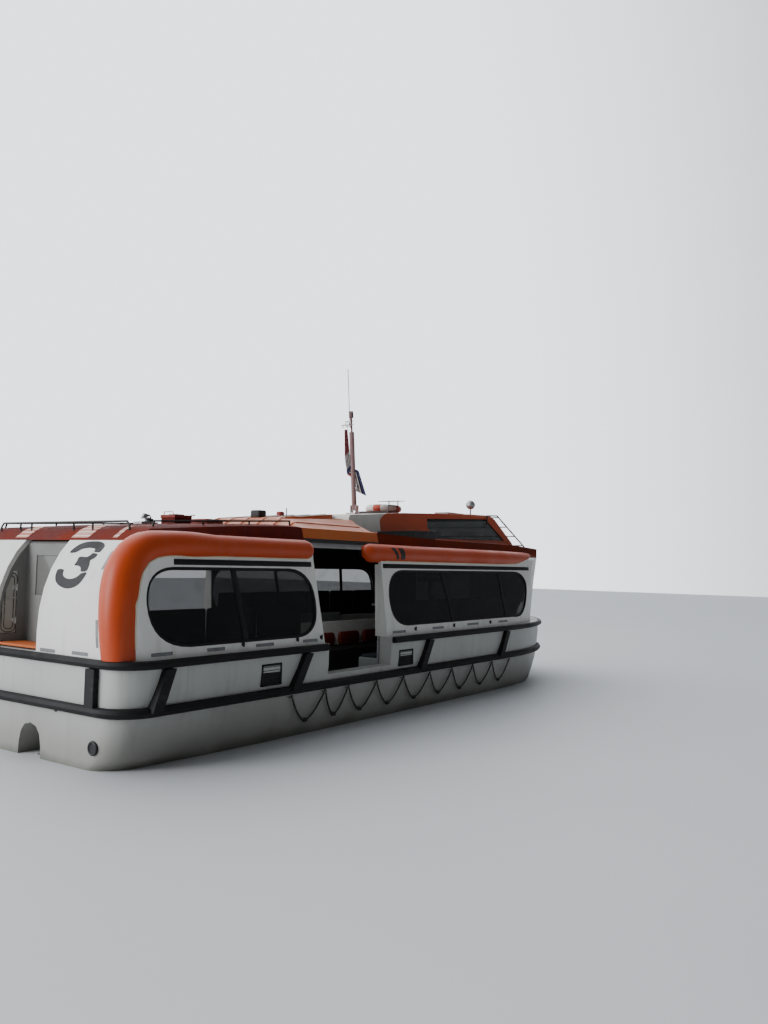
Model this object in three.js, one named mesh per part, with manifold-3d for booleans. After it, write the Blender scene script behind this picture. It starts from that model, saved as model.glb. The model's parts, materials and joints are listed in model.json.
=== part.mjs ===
// Partially enclosed tender lifeboat with an orange and white canopy, afloat.
// Millimetres. +X to the bow, +Y to port, +Z up. The origin is amidships on the centreline at the
// waterline.
import * as THREE from 'three';
import { mergeVertices } from 'three/addons/utils/BufferGeometryUtils.js';
import Module from 'manifold-3d';

const wasm = await Module();
wasm.setup();

// Driving dimensions of the hull
const HULL_AFT = -6500;
const BOW_TIP = 6500;
const HALF_BEAM = 2200;
const GUNWALE_Z = 1250;
const KEEL_Z = -740;
const STERN_CORNER = 400;
const BOW_START = 2600;
const FLOOR_Z = 450;
const HULL_WALL = 90;

// Driving dimensions of the canopy
const CANOPY_AFT = -6470;
const CANOPY_FWD = 6060;
const CANOPY_HALF = 2120;
const CANOPY_WALL = 50;
const EAVES_Z = 2620;
const DOME_START_Z = 1500;
const DOME_LENGTH = 940;
const DOME_HEIGHT = 1365;
const RECESS = { stbd: -440, port: 520, fwd: -6020, wall: 40 };
const RECESS_VIEW = { stbd: -230, port: 330, low: 1900, high: 2420 };

// Boarding opening, between the aft and the forward canopy sides
const OPENING_AFT = -2955;
const OPENING_AFT_TOP = -3120;
const OPENING_FWD = -1375;
const OPENING_FWD_TOP = -1430;
const SILL_Z = 810;

// Raised roof amidships and the wheelhouse
const MID_ROOF_AFT = -3100;
const MID_ROOF_FWD = -1200;
const WHEELHOUSE_HALF = 1230;

// How far the roof deck stands above its aft end: columns are x and rise
const ROOF_RISE = [
  [-7000, 0], [-5900, 0], [-5090, 58], [-4380, 107], [-3500, 148], [-1300, 150], [700, 105], [3600, 108],
  [5000, 50], [5900, 0], [7000, 0],
];

const UPPER_FENDER = { z: 1205, radius: 52 };
const LOWER_FENDER = { z: 670, radius: 60 };
const GAP = 0.3;
const RUNNING_GAP = 0.6;
const FAR = 20000;

const COLOURS = {
  white: [0xe4e5e0, 0.45, 0.0],
  hull: [0xd4d6d0, 0.5, 0.0],
  orange: [0xc8501e, 0.5, 0.0],
  maroon: [0x8e2a20, 0.6, 0.0],
  amber: [0xd08030, 0.55, 0.0],
  rubber: [0x17181a, 0.8, 0.0],
  glass: [0x0c1014, 0.12, 0.0],
  steel: [0xb4b8ba, 0.35, 0.9],
  black: [0x141416, 0.6, 0.0],
  seat: [0x2c3338, 0.85, 0.0],
  grey: [0x83878a, 0.7, 0.0],
  bronze: [0xa6803c, 0.35, 0.9],
  rope: [0x202224, 0.9, 0.0],
  cloth: [0xb03038, 0.9, 0.0],
};

const boat = new THREE.Group();

// Booleans and small helpers

function solid(geometry) {
  const bare = geometry.clone();
  bare.deleteAttribute('normal');
  bare.deleteAttribute('uv');
  const merged = mergeVertices(bare, 1e-3);
  return new wasm.Manifold(new wasm.Mesh({
    numProp: 3,
    vertProperties: new Float32Array(merged.attributes.position.array),
    triVerts: new Uint32Array(merged.index.array),
  }));
}

function geometryOf(body) {
  const mesh = body.getMesh();
  const geometry = new THREE.BufferGeometry();
  geometry.setAttribute('position', new THREE.BufferAttribute(mesh.vertProperties, 3));
  geometry.setIndex(new THREE.BufferAttribute(mesh.triVerts, 1));
  const flat = geometry.toNonIndexed();
  flat.computeVertexNormals();
  return flat;
}

function place(name, colour, body) {
  const [tone, roughness, metalness] = COLOURS[colour];
  const material = new THREE.MeshStandardMaterial({ color: tone, roughness, metalness });
  material.name = colour;
  const mesh = new THREE.Mesh(geometryOf(body), material);
  mesh.name = name;
  boat.add(mesh);
}

function placeBoth(name, colour, starboard) {
  place(`${name}_stbd`, colour, starboard);
  place(`${name}_port`, colour, mirrored(starboard));
}

function shapeOf(points) {
  return new THREE.Shape(points.map(([a, b]) => new THREE.Vector2(a, b)));
}

function extruded(shape, depth, matrix) {
  const geometry = new THREE.ExtrudeGeometry(shape, { depth, bevelEnabled: false, curveSegments: 8 });
  geometry.applyMatrix4(matrix);
  return solid(geometry);
}

// Outline in (y, z), run along X
function alongX(shape, x0, x1) {
  const turn = new THREE.Matrix4().set(0, 0, 1, x0, 1, 0, 0, 0, 0, 1, 0, 0, 0, 0, 0, 1);
  return extruded(shape, x1 - x0, turn);
}

// Outline in (x, z), run along Y
function alongY(shape, y0, y1) {
  const turn = new THREE.Matrix4().set(1, 0, 0, 0, 0, 0, -1, y1, 0, 1, 0, 0, 0, 0, 0, 1);
  return extruded(shape, y1 - y0, turn);
}

// Outline in (x, y), run along Z
function alongZ(shape, z0, z1) {
  return extruded(shape, z1 - z0, new THREE.Matrix4().makeTranslation(0, 0, z0));
}

function box(x0, x1, y0, y1, z0, z1) {
  const geometry = new THREE.BoxGeometry(x1 - x0, y1 - y0, z1 - z0);
  geometry.translate((x0 + x1) / 2, (y0 + y1) / 2, (z0 + z1) / 2);
  return solid(geometry);
}

function post(x, y, z0, z1, radius, sides = 12) {
  const geometry = new THREE.CylinderGeometry(radius, radius, z1 - z0, sides);
  geometry.rotateX(Math.PI / 2);
  geometry.translate(x, y, (z0 + z1) / 2);
  return solid(geometry);
}

function rodX(x0, x1, y, z, radius, sides = 12) {
  const geometry = new THREE.CylinderGeometry(radius, radius, x1 - x0, sides);
  geometry.rotateZ(Math.PI / 2);
  geometry.translate((x0 + x1) / 2, y, z);
  return solid(geometry);
}

function rodY(y0, y1, x, z, radius, sides = 12) {
  const geometry = new THREE.CylinderGeometry(radius, radius, y1 - y0, sides);
  geometry.translate(x, (y0 + y1) / 2, z);
  return solid(geometry);
}

function ball(x, y, z, radius, sides = 14) {
  const geometry = new THREE.SphereGeometry(radius, sides, Math.round(sides * 0.6));
  geometry.translate(x, y, z);
  return solid(geometry);
}

function joined(bodies) {
  return bodies.reduce((sum, body) => sum.add(body));
}

// The body cut back so that it keeps a gap to its neighbour
function clearOf(body, neighbour) {
  const shifts = [[GAP, 0, 0], [-GAP, 0, 0], [0, GAP, 0], [0, -GAP, 0], [0, 0, GAP], [0, 0, -GAP]];
  return shifts.reduce((left, shift) => left.subtract(neighbour.translate(shift)), body);
}

function mirrored(body) {
  return body.mirror([0, 1, 0]);
}

function largest(body) {
  const parts = body.decompose();
  return parts.reduce((best, part) => (part.volume() > best.volume() ? part : best));
}

function circle(radius, sides) {
  return shapeOf(Array.from({ length: sides }, (_, i) => {
    const angle = (2 * Math.PI * i) / sides;
    return [radius * Math.cos(angle), radius * Math.sin(angle)];
  }));
}

// Smooth curve whose even steps fall on its own points
class StationCurve extends THREE.CatmullRomCurve3 {
  getPointAt(share) {
    return this.getPoint(share);
  }

  getTangentAt(share) {
    return this.getTangent(share);
  }
}

function sweep(points, radius, sides) {
  const curve = new StationCurve(points.map((p) => new THREE.Vector3(...p)), false, 'centripetal');
  return new THREE.ExtrudeGeometry(circle(radius, sides), {
    steps: points.length - 1, extrudePath: curve, bevelEnabled: false,
  });
}

function tube(points, radius, sides = 8) {
  return solid(sweep(points, radius, sides));
}

// Tube along straight runs, with a ball at each bend
function frameTube(points, radius, sides = 6) {
  const runs = points.slice(1).map((end, i) => {
    const start = new THREE.Vector3(...points[i]);
    const line = new THREE.LineCurve3(start, new THREE.Vector3(...end));
    const path = { steps: 1, extrudePath: line, bevelEnabled: false };
    return solid(new THREE.ExtrudeGeometry(circle(radius, sides), path));
  });
  const bends = points.slice(1, -1).map((p) => ball(...p, radius * 1.04, 6));
  return joined([...runs, ...bends]);
}

// Tube whose radius changes along its path, each point given as [x, y, z, radius]
function taperedTube(points, sides) {
  const geometry = sweep(points.map((p) => p.slice(0, 3)), 1, sides);
  const centres = points.map((p) => new THREE.Vector3(p[0], p[1], p[2]));
  const position = geometry.attributes.position;
  const vertex = new THREE.Vector3();
  for (let i = 0; i < position.count; i += 1) {
    vertex.fromBufferAttribute(position, i);
    const distances = centres.map((centre) => centre.distanceTo(vertex));
    const nearest = distances.indexOf(Math.min(...distances));
    vertex.sub(centres[nearest]).setLength(points[nearest][3]).add(centres[nearest]);
    position.setXYZ(i, vertex.x, vertex.y, vertex.z);
  }
  return solid(geometry);
}

// Hull form

function bowTaper(x, end) {
  const run = Math.max(0, (x - BOW_START) / (end - BOW_START));
  return Math.max(0, 1 - run ** 2.4) ** (1 / 1.7);
}

function sternTaper(x, aft, half) {
  const into = Math.max(0, aft + STERN_CORNER - x);
  return (half - STERN_CORNER + Math.sqrt(Math.max(0, STERN_CORNER ** 2 - into ** 2))) / half;
}

function hullHalf(x) {
  return HALF_BEAM * bowTaper(x, BOW_TIP + 40) * sternTaper(x, HULL_AFT, HALF_BEAM);
}

function keelAt(x) {
  const fore = Math.max(0, (x - 3400) / (BOW_TIP + 40 - 3400));
  const aft = Math.max(0, (-2600 - x) / 3900);
  return KEEL_Z + (GUNWALE_Z - KEEL_Z) * fore ** 2.3 + 300 * aft ** 1.6;
}

// Half section of the hull: columns are the share of the half beam and the share of the depth
const HULL_SECTION = [
  [0, 0], [0.34, 0.06], [0.64, 0.14], [0.83, 0.24], [0.92, 0.35], [0.96, 0.5], [0.985, 0.68], [1, 0.85],
  [1, 1],
];

function shareAt(height) {
  const upper = HULL_SECTION.findIndex(([, share]) => share >= height);
  const [y0, h0] = HULL_SECTION[Math.max(0, upper - 1)];
  const [y1, h1] = HULL_SECTION[Math.max(1, upper)];
  return y0 + ((y1 - y0) * (height - h0)) / (h1 - h0);
}

function hullHalfAt(x, z) {
  const height = (z - keelAt(x)) / (GUNWALE_Z - keelAt(x));
  return height <= 0 ? 0 : hullHalf(x) * shareAt(Math.min(1, height));
}

const STATIONS = [
  -6500, -6485, -6440, -6365, -6260, -6100, -5200, -4200, -2600, 0, BOW_START, 3300, 3900, 4400, 4900, 5300,
  5650, 5950, 6180, 6340, 6440, BOW_TIP,
];

function hullBody() {
  const right = HULL_SECTION.map(([y, z]) => [y, z]);
  const left = HULL_SECTION.slice(1).reverse().map(([y, z]) => [-y, z]);
  const steps = STATIONS.length - 1;
  const geometry = new THREE.ExtrudeGeometry(shapeOf([...right, ...left]), {
    depth: 1, steps, bevelEnabled: false,
  });
  const position = geometry.attributes.position;
  for (let i = 0; i < position.count; i += 1) {
    const x = STATIONS[Math.round(position.getZ(i) * steps)];
    const keel = keelAt(x);
    const y = position.getX(i) * hullHalf(x);
    const z = keel + position.getY(i) * (GUNWALE_Z - keel);
    position.setXYZ(i, x, y, z);
  }
  return solid(geometry);
}

// Propeller tunnels, arched at the transom and running out forward
const TUNNEL_Y = 440;
const TUNNEL = [
  [-290, -1500], [-290, -330], [-230, 20], [-222, 150], [-190, 270], [-120, 350], [0, 380],
];

function tunnel() {
  const left = TUNNEL.map(([y, z]) => [-y, z]).slice(0, -1);
  const arch = alongX(shapeOf([...TUNNEL, ...left.reverse()]), -1200, 2600);
  return arch.rotate([0, 18, 0]).translate([HULL_AFT, -TUNNEL_Y, 0]);
}

const RUDDER_X = -6230;
const STOCK_RADIUS = 24;
const SHAFT_Z = -330;
const SHAFT_RADIUS = 24;
const SHAFT_END = -4000;
const WELL_AFT = -5840;
const WELL_FWD = 5150;

// Side view of the skeg under the keel
const SKEG = [[-5400, -800], [-5400, -300], [2600, -300], [3000, -700], [2900, -800]];
const SKEG_HALF = 60;

function hullPiece() {
  const well = alongZ(shapeOf(planOutline(HULL_WALL + 60, WELL_AFT, WELL_FWD)), FLOOR_Z, GUNWALE_Z + 50);
  const entry = box(OPENING_AFT, OPENING_FWD, -FAR, FAR, SILL_Z, GUNWALE_Z + 50);
  const bores = [-TUNNEL_Y, TUNNEL_Y].map((y) => joined([
    post(RUDDER_X, y, -100, 500, STOCK_RADIUS + 1, 16),
    rodX(-5900, SHAFT_END + 50, y, SHAFT_Z, SHAFT_RADIUS + 1, 16),
  ]));
  const brackets = [-TUNNEL_Y, TUNNEL_Y].map((y) => joined([
    rodX(-5780, -5660, y, SHAFT_Z, SHAFT_RADIUS + 22, 16),
    box(-5760, -5680, y - 12, y + 12, SHAFT_Z + 35, 260),
  ]));
  const skeg = alongY(shapeOf(SKEG), -SKEG_HALF, SKEG_HALF);
  return hullBody().add(skeg).subtract(well).subtract(entry).subtract(tunnel()).subtract(mirrored(tunnel()))
    .add(joined(brackets)).subtract(joined(bores));
}

// Plan outline of the canopy or of the well, as (x, y) all round
function planOutline(inset, aft = CANOPY_AFT + inset, fwd = CANOPY_FWD - inset) {
  const corner = STERN_CORNER - inset / 2;
  const beam = CANOPY_HALF - inset;
  const side = [];
  for (let i = 0; i <= 6; i += 1) {
    const angle = (Math.PI / 2) * (i / 6);
    side.push([aft + corner * (1 - Math.cos(angle)), beam - corner * (1 - Math.sin(angle))]);
  }
  for (let i = 0; i <= 12; i += 1) {
    const x = BOW_START + (fwd - BOW_START) * Math.sin((Math.PI / 2) * (i / 12));
    side.push([x, Math.max(0, beam * bowTaper(x, fwd + 30))]);
  }
  const other = side.slice().reverse().map(([x, y]) => [x, -y]);
  return [...side, ...other].reverse();
}

// The front of the canopy leans back and grows blunter from the gunwale up to the eaves
function frontAt(z, fwd) {
  const share = Math.min(1, Math.max(0, (z - GUNWALE_Z) / (EAVES_Z - GUNWALE_Z)));
  return { tip: fwd + 30 - 60 * share, root: 1 / 1.7 - 0.22 * share };
}

function frontHalf(run, z, fwd) {
  return Math.max(0, 1 - run ** 2.4) ** frontAt(z, fwd).root;
}

function planBody(inset) {
  const fwd = CANOPY_FWD - inset;
  const layers = [1000, GUNWALE_Z, 1600, 1950, 2300, EAVES_Z, 3200];
  const steps = layers.length - 1;
  const geometry = new THREE.ExtrudeGeometry(shapeOf(planOutline(inset)), {
    depth: 1, steps, bevelEnabled: false,
  });
  const position = geometry.attributes.position;
  for (let i = 0; i < position.count; i += 1) {
    const z = layers[Math.round(position.getZ(i) * steps)];
    let x = position.getX(i);
    let y = position.getY(i);
    if (x > BOW_START) {
      const run = (x - BOW_START) / (fwd + 30 - BOW_START);
      x = BOW_START + run * (frontAt(z, fwd).tip - BOW_START);
      y = Math.sign(y) * (CANOPY_HALF - inset) * frontHalf(run, z, fwd);
    }
    position.setXYZ(i, x, y, z);
  }
  return solid(geometry);
}

function roofRise(x) {
  const upper = ROOF_RISE.findIndex(([at]) => at >= x);
  const [x0, rise0] = ROOF_RISE[Math.max(0, upper - 1)];
  const [x1, rise1] = ROOF_RISE[Math.max(1, upper)];
  return rise0 + ((rise1 - rise0) * (x - x0)) / (x1 - x0);
}

// Half section of the canopy as (y, z), below the rise of the roof
const SHOULDER_Z = 2700;
const CANOPY_SECTION = [
  [CANOPY_HALF, GUNWALE_Z], [1985, 2560], [1800, SHOULDER_Z], [1740, 2765], [1600, 2790], [1000, 2800],
  [0, 2815],
];

function sectionBody(inset) {
  const half = CANOPY_SECTION.map(([y, z]) => {
    const drop = z > GUNWALE_Z ? inset * 1.2 : inset;
    return [Math.max(0, y - inset), z - drop];
  });
  const other = half.slice(0, -1).reverse().map(([y, z]) => [-y, z]);
  const steps = ROOF_RISE.length - 1;
  const geometry = new THREE.ExtrudeGeometry(shapeOf([...half, ...other]), {
    depth: 1, steps, bevelEnabled: false,
  });
  const position = geometry.attributes.position;
  for (let i = 0; i < position.count; i += 1) {
    const [x, rise] = ROOF_RISE[Math.round(position.getZ(i) * steps)];
    const y = position.getX(i);
    const z = position.getY(i);
    const lifted = z > SHOULDER_Z - inset * 1.2 + 1;
    position.setXYZ(i, x, y, lifted ? z + rise : z);
  }
  return solid(geometry);
}

function deckZ(x) {
  return CANOPY_SECTION[CANOPY_SECTION.length - 1][1] + roofRise(x);
}

// Side view of the canopy's front as (x, z), from above the roof down to the eaves
const CANOPY_FRONT = [
  [-4900, 3100], [5200, 3100], [5450, 2850], [5750, 2815], [5930, 2740], [6040, EAVES_Z], [6200, 2400],
];
const DOME_STEPS = 8;

function canopyProfile(inset) {
  const dome = [];
  for (let i = 0; i <= DOME_STEPS; i += 1) {
    const angle = (Math.PI / 2) * (i / DOME_STEPS);
    dome.push([
      CANOPY_AFT + inset + DOME_LENGTH * (1 - Math.cos(angle)),
      DOME_START_Z + (DOME_HEIGHT - inset) * Math.sin(angle),
    ]);
  }
  const front = CANOPY_FRONT.map(([x, z]) => [x - inset, z - inset]);
  const [frontX] = front[front.length - 1];
  return [[CANOPY_AFT + inset, 1100], ...dome, ...front, [frontX, 1100]].reverse();
}

function canopyBody(inset) {
  const profile = alongY(shapeOf(canopyProfile(inset)), -2500, 2500);
  return sectionBody(inset).intersect(profile).intersect(planBody(inset));
}

const outerBody = canopyBody(0);
const innerBody = canopyBody(CANOPY_WALL);
const shell = outerBody.subtract(innerBody);

// Orange rolls along the canopy's edges

const ROLL = { y: 1915, z: 2575, radius: 150, fwdEnd: -1810, detail: 3 };

// The aft roll on its way up the stern corner: columns are x, y, z and radius
const ROLL_CORNER = [
  [-6344, 1884, 1190, 200], [-6341, 1838, 1595, 226], [-6307, 1808, 1948, 246], [-6260, 1793, 2218, 240],
  [-6158, 1803, 2416, 227], [-6008, 1826, 2521, 210], [-5737, 1882, 2572, 175], [-5385, 1919, 2582, 165],
];

function fatter(points, grow) {
  return points.map(([x, y, z, radius]) => [x, y, z, radius + grow]);
}

function roundedEnd(x, toward) {
  return [[0, 0.2], [0.15, 0.55], [0.45, 0.85], [1, 1]].map(([along, share]) => [
    x + toward * along * ROLL.radius, ROLL.y, ROLL.z, ROLL.radius * share,
  ]);
}

function smoothCurve(points) {
  return new THREE.CatmullRomCurve3(points.map((point) => new THREE.Vector3(...point)));
}

// More sections between the given ones, on one smooth curve, for a roll that swells evenly
function finer(points, steps) {
  const centres = smoothCurve(points.map(([x, y, z]) => [x, y, z]));
  const radii = smoothCurve(points.map(([x, , , radius]) => [x, radius, 0]));
  const count = (points.length - 1) * steps;
  return Array.from({ length: count + 1 }, (_, i) => {
    const { x, y, z } = centres.getPoint(i / count);
    return [x, y, z, radii.getPoint(i / count).y];
  });
}

function rollAft(grow) {
  const points = finer([...ROLL_CORNER, [-5000, ROLL.y, ROLL.z, ROLL.radius]], ROLL.detail);
  points.push(...roundedEnd(OPENING_AFT_TOP + 20, -1).reverse());
  return taperedTube(fatter(points, grow), 18);
}

// The roll's centre by the canopy's outline at its height, further in along the side than across the front
function rollFront(run) {
  const at = (share) => new THREE.Vector2(
    BOW_START + share * (frontAt(ROLL.z, CANOPY_FWD).tip - BOW_START),
    CANOPY_HALF * frontHalf(share, ROLL.z, CANOPY_FWD),
  );
  const here = at(run);
  const tangent = at(run + 0.004).sub(here).normalize();
  return [here.x + 60 * tangent.y, here.y - (CANOPY_HALF - ROLL.y) * tangent.x, ROLL.z, ROLL.radius];
}

function rollFwd(grow) {
  const points = [...roundedEnd(ROLL.fwdEnd, 1), [BOW_START, ROLL.y, ROLL.z, ROLL.radius]];
  points.push(...[0.22, 0.4, 0.55, 0.68, 0.79, 0.87, 0.93, 0.965, 0.985].map(rollFront));
  const [frontX] = rollFront(0.99);
  points.push([frontX + 8, 250, ROLL.z, ROLL.radius], [frontX + 10, -80, ROLL.z, ROLL.radius]);
  return taperedTube(fatter(points, grow), 14);
}

const aboveGunwale = box(-FAR, FAR, -FAR, FAR, GUNWALE_Z + GAP, FAR);
const portHalf = box(-FAR, FAR, GAP / 2, FAR, 0, FAR);
const rollCore = canopyBody(CANOPY_WALL + 10);
const rollPort = largest(rollAft(0).intersect(aboveGunwale).subtract(rollCore));
const rollFore = largest(rollFwd(0).intersect(portHalf).subtract(rollCore));
const rolls = joined([rollPort, mirrored(rollPort), rollFore, mirrored(rollFore)]);

// Room for the rolls in the shell, wider than they are by the gap
const rollRoom = rollAft(2 * GAP).add(rollFwd(2 * GAP));
const skins = shell.subtract(rollRoom).subtract(mirrored(rollRoom));

// Windows

// Outlines in (x, z), a point at a time: a curve's end is given with the corner that it rounds
const AFT_WINDOW = [
  { end: [-5720, 2300] },
  { end: [-3650, 2300] },
  { corner: [-3130, 2280], end: [-3120, 1740] },
  { corner: [-3110, 1375], end: [-3560, 1370] },
  { end: [-5500, 1370] },
  { corner: [-6090, 1390], end: [-6130, 1880] },
  { corner: [-6150, 2290], end: [-5720, 2300] },
];
const FWD_WINDOW = [
  { end: [-820, 2300] },
  { end: [3300, 2300] },
  { corner: [3880, 2290], end: [3890, 1850] },
  { corner: [3880, 1420], end: [3350, 1410] },
  { end: [-760, 1410] },
  { corner: [-1230, 1430], end: [-1250, 1880] },
  { corner: [-1260, 2290], end: [-820, 2300] },
];

// The cut that a window makes through the starboard wall
function windowCut(outline) {
  const shape = new THREE.Shape();
  shape.moveTo(...outline[0].end);
  for (const { corner, end } of outline.slice(1)) {
    if (corner) shape.quadraticCurveTo(...corner, ...end);
    else shape.lineTo(...end);
  }
  return alongY(shape, -2500, -1500);
}

// How far the two faces of the panes lie behind the wall's outer face
const GLASS = { outer: 18, inner: 28 };

// The wall's edge is turned inwards along the forward side of the entrance
const JAMB = { wall: 40, depth: 220, top: 2400 };

function entranceJamb(low) {
  const edge = alongY(shapeOf([
    [OPENING_FWD, low], [OPENING_FWD + JAMB.wall, low], [OPENING_FWD_TOP + JAMB.wall, JAMB.top],
    [OPENING_FWD_TOP, JAMB.top],
  ]), -2500, JAMB.depth - 2100);
  return edge.intersect(canopyBody(CANOPY_WALL / 2));
}

function canopySides() {
  const low = GUNWALE_Z + GAP;
  const high = EAVES_Z - GAP;
  const aftZone = alongY(shapeOf([
    [-6330, low], [OPENING_AFT, low], [OPENING_AFT_TOP, 2440], [OPENING_AFT_TOP, high], [-6330, high],
  ]), -2500, -1500);
  const fwdZone = alongY(shapeOf([
    [OPENING_FWD, low], [5330, low], [5330, high], [OPENING_FWD_TOP, high], [OPENING_FWD_TOP, 2440],
  ]), -2500, -300);
  const aft = largest(skins.intersect(aftZone).subtract(windowCut(AFT_WINDOW)));
  const fwd = largest(skins.intersect(fwdZone).subtract(windowCut(FWD_WINDOW)).add(entranceJamb(low)));
  placeBoth('canopy_side_aft', 'white', aft);
  placeBoth('canopy_side_fwd', 'white', fwd);
  const sheet = canopyBody(GLASS.outer).subtract(canopyBody(GLASS.inner));
  placeBoth('glass_aft', 'glass', largest(clearOf(sheet.intersect(windowCut(AFT_WINDOW)), aft)));
  placeBoth('glass_fwd', 'glass', largest(clearOf(sheet.intersect(windowCut(FWD_WINDOW)), fwd)));
  const bow = largest(skins.intersect(box(5330 + GAP, 6100, -FAR, FAR, low, high)));
  place('canopy_bow', 'white', bow);
}

// Stern: panels, recess and its door

const DOOR = { fwd: -6150, low: 1395, high: 2200, frame: 40, gap: 7, hingeSide: 60 };

// The door's outline follows the dome; it is cut to stand a little inside its doorway
function doorBody(inset, y0, y1) {
  const edge = canopyBody(CANOPY_WALL + DOOR.frame + inset);
  return edge.intersect(box(-6600, DOOR.fwd - inset, y0, y1, DOOR.low + inset, DOOR.high - inset));
}

function sternPieces() {
  const low = GUNWALE_Z + GAP;
  const high = EAVES_Z - GAP;
  const { stbd, port, fwd, wall } = RECESS;
  place('canopy_stern_stbd', 'white', largest(skins.intersect(box(-6600, -5900, -1900, stbd, low, high))));
  place('canopy_stern_port', 'white', largest(skins.intersect(box(-6600, -5900, port, 1900, low, high))));
  const recessPlan = [
    [-6600, port], [-6600, port + wall], [fwd + wall, port + wall], [fwd + wall, stbd - wall],
    [-6600, stbd - wall], [-6600, stbd], [fwd, stbd], [fwd, port],
  ].reverse();
  const view = RECESS_VIEW;
  const walls = canopyBody(CANOPY_WALL + GAP).intersect(alongZ(shapeOf(recessPlan), low, 2790))
    .subtract(doorBody(0, port - 50, port + wall + 50))
    .subtract(box(fwd - 50, fwd + wall + 50, view.stbd, view.port, view.low, view.high));
  place('stern_recess', 'grey', largest(walls));
  const leaf = [port + 5, port + wall - 5];
  const hingeSide = box(
    DOOR.fwd - DOOR.hingeSide, DOOR.fwd - RUNNING_GAP, ...leaf, DOOR.low + 90, DOOR.high - 130,
  );
  place('stern_door', 'white', doorBody(DOOR.gap, ...leaf).add(hingeSide));
  place('glass_recess', 'glass', box(
    fwd + 14, fwd + 24, view.stbd + GAP, view.port - GAP, view.low + GAP, view.high - GAP,
  ));
}

// Roof, split aft, amidships and forward

const HATCH = { aft: -4075, fwd: -3835, half: 110, coaming: 40, top: 3020, lid: 49, overhang: 50 };

function roofAft(roofs) {
  const hatchway = box(HATCH.aft, HATCH.fwd, -HATCH.half, HATCH.half, SHOULDER_Z, 3100);
  const rim = HATCH.coaming;
  const coaming = box(
    HATCH.aft - rim, HATCH.fwd + rim, -HATCH.half - rim, HATCH.half + rim, deckZ(HATCH.aft) - 40, HATCH.top,
  );
  const aft = largest(roofs.intersect(box(-FAR, MID_ROOF_AFT - GAP, -FAR, FAR, 0, FAR)));
  return aft.add(coaming).subtract(hatchway);
}

// Side view and half section of the hood over the entrances, and of the crown along its middle
const HOOD_SIDE = [
  [MID_ROOF_AFT, 2700], [MID_ROOF_AFT, 2905], [-2850, 3060], [MID_ROOF_FWD - GAP, 3140],
  [MID_ROOF_FWD - GAP, 2700],
];
const HOOD_SECTION = [[1745, 2600], [1700, 2900], [1320, 3060], [1220, 3130], [0, 3160]];
const HOOD_HALF = 1800;
const HOOD_WALL = 50;
const CROWN_SIDE = [
  [-2463, 3000], [-2463, 3095], [-2400, 3119], [MID_ROOF_FWD - GAP, 3240], [MID_ROOF_FWD - GAP, 3000],
];
const CROWN_HALF = 800;

function hoodBody(inset) {
  const half = HOOD_SECTION.map(([y, z]) => [Math.max(0, y - inset), z - inset]);
  const section = shapeOf([...half, ...half.slice(0, -1).reverse().map(([y, z]) => [-y, z])]);
  const narrowed = (points) => points.map(([x, z], i) => [x + (i < 3 ? inset : -inset), z - inset]);
  const side = narrowed(HOOD_SIDE);
  side[0][1] = 2600;
  side[side.length - 1][1] = 2600;
  const hood = alongX(section, MID_ROOF_AFT, MID_ROOF_FWD)
    .intersect(alongY(shapeOf(side.reverse()), -HOOD_HALF, HOOD_HALF));
  const crown = shapeOf(narrowed(CROWN_SIDE).reverse());
  return hood.add(alongY(crown, inset - CROWN_HALF, CROWN_HALF - inset));
}

function roofPieces() {
  const roofs = skins.intersect(box(-FAR, FAR, -FAR, FAR, EAVES_Z + GAP, FAR));
  place('roof_aft', 'maroon', roofAft(roofs));
  const deck = roofs.intersect(box(MID_ROOF_AFT, MID_ROOF_FWD - GAP, -FAR, FAR, 0, FAR));
  const aboveDeck = box(-FAR, FAR, -FAR, FAR, 2720, FAR);
  const raised = hoodBody(0).intersect(aboveDeck).add(deck).subtract(hoodBody(HOOD_WALL));
  const cleared = raised.subtract(innerBody).subtract(rollRoom).subtract(mirrored(rollRoom));
  place('roof_mid', 'amber', largest(cleared));
  const fwd = roofs.intersect(box(MID_ROOF_FWD, FAR, -FAR, FAR, 0, FAR));
  const well = box(WHEELHOUSE_AFT + 150, 4650, -1080, 1080, 2500, 3100);
  place('roof_fwd', 'maroon', largest(fwd.subtract(well).subtract(wheelhouseBody(-GAP))));
}

// Wheelhouse

const WHEELHOUSE_AFT = -1190;
const WHEELHOUSE_WALL = 45;
const SCREEN = { foot: [4870, 2950], head: [4075, 3508], edge: 90, half: 1000 };

// Side view of the wheelhouse as (x, z) from the aft foot round to the windscreen's foot
const WHEELHOUSE_SIDE = [
  [WHEELHOUSE_AFT, 2700], [WHEELHOUSE_AFT, 3170], [WHEELHOUSE_AFT + 40, 3230], [500, 3365], [2990, 3495],
  [3900, 3525], SCREEN.head, SCREEN.foot, [4910, 2890], [4910, 2700],
];

function wheelhouseBody(inset) {
  const side = WHEELHOUSE_SIDE.map(([x, z], i) => {
    const along = i < 5 ? inset : -inset;
    return [x + along, z - inset];
  });
  side[0][1] = 2700;
  side[side.length - 1][1] = 2700;
  const profile = alongY(shapeOf(side.reverse()), -1600, 1600);
  const half = WHEELHOUSE_HALF - inset;
  const section = alongX(shapeOf([
    [half, 2600], [half - 125, 3440 - inset], [half - 190, 3530 - inset], [0, 3600 - inset],
    [190 - half, 3530 - inset], [125 - half, 3440 - inset], [-half, 2600],
  ]), -1500, 5200);
  return profile.intersect(section);
}

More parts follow.
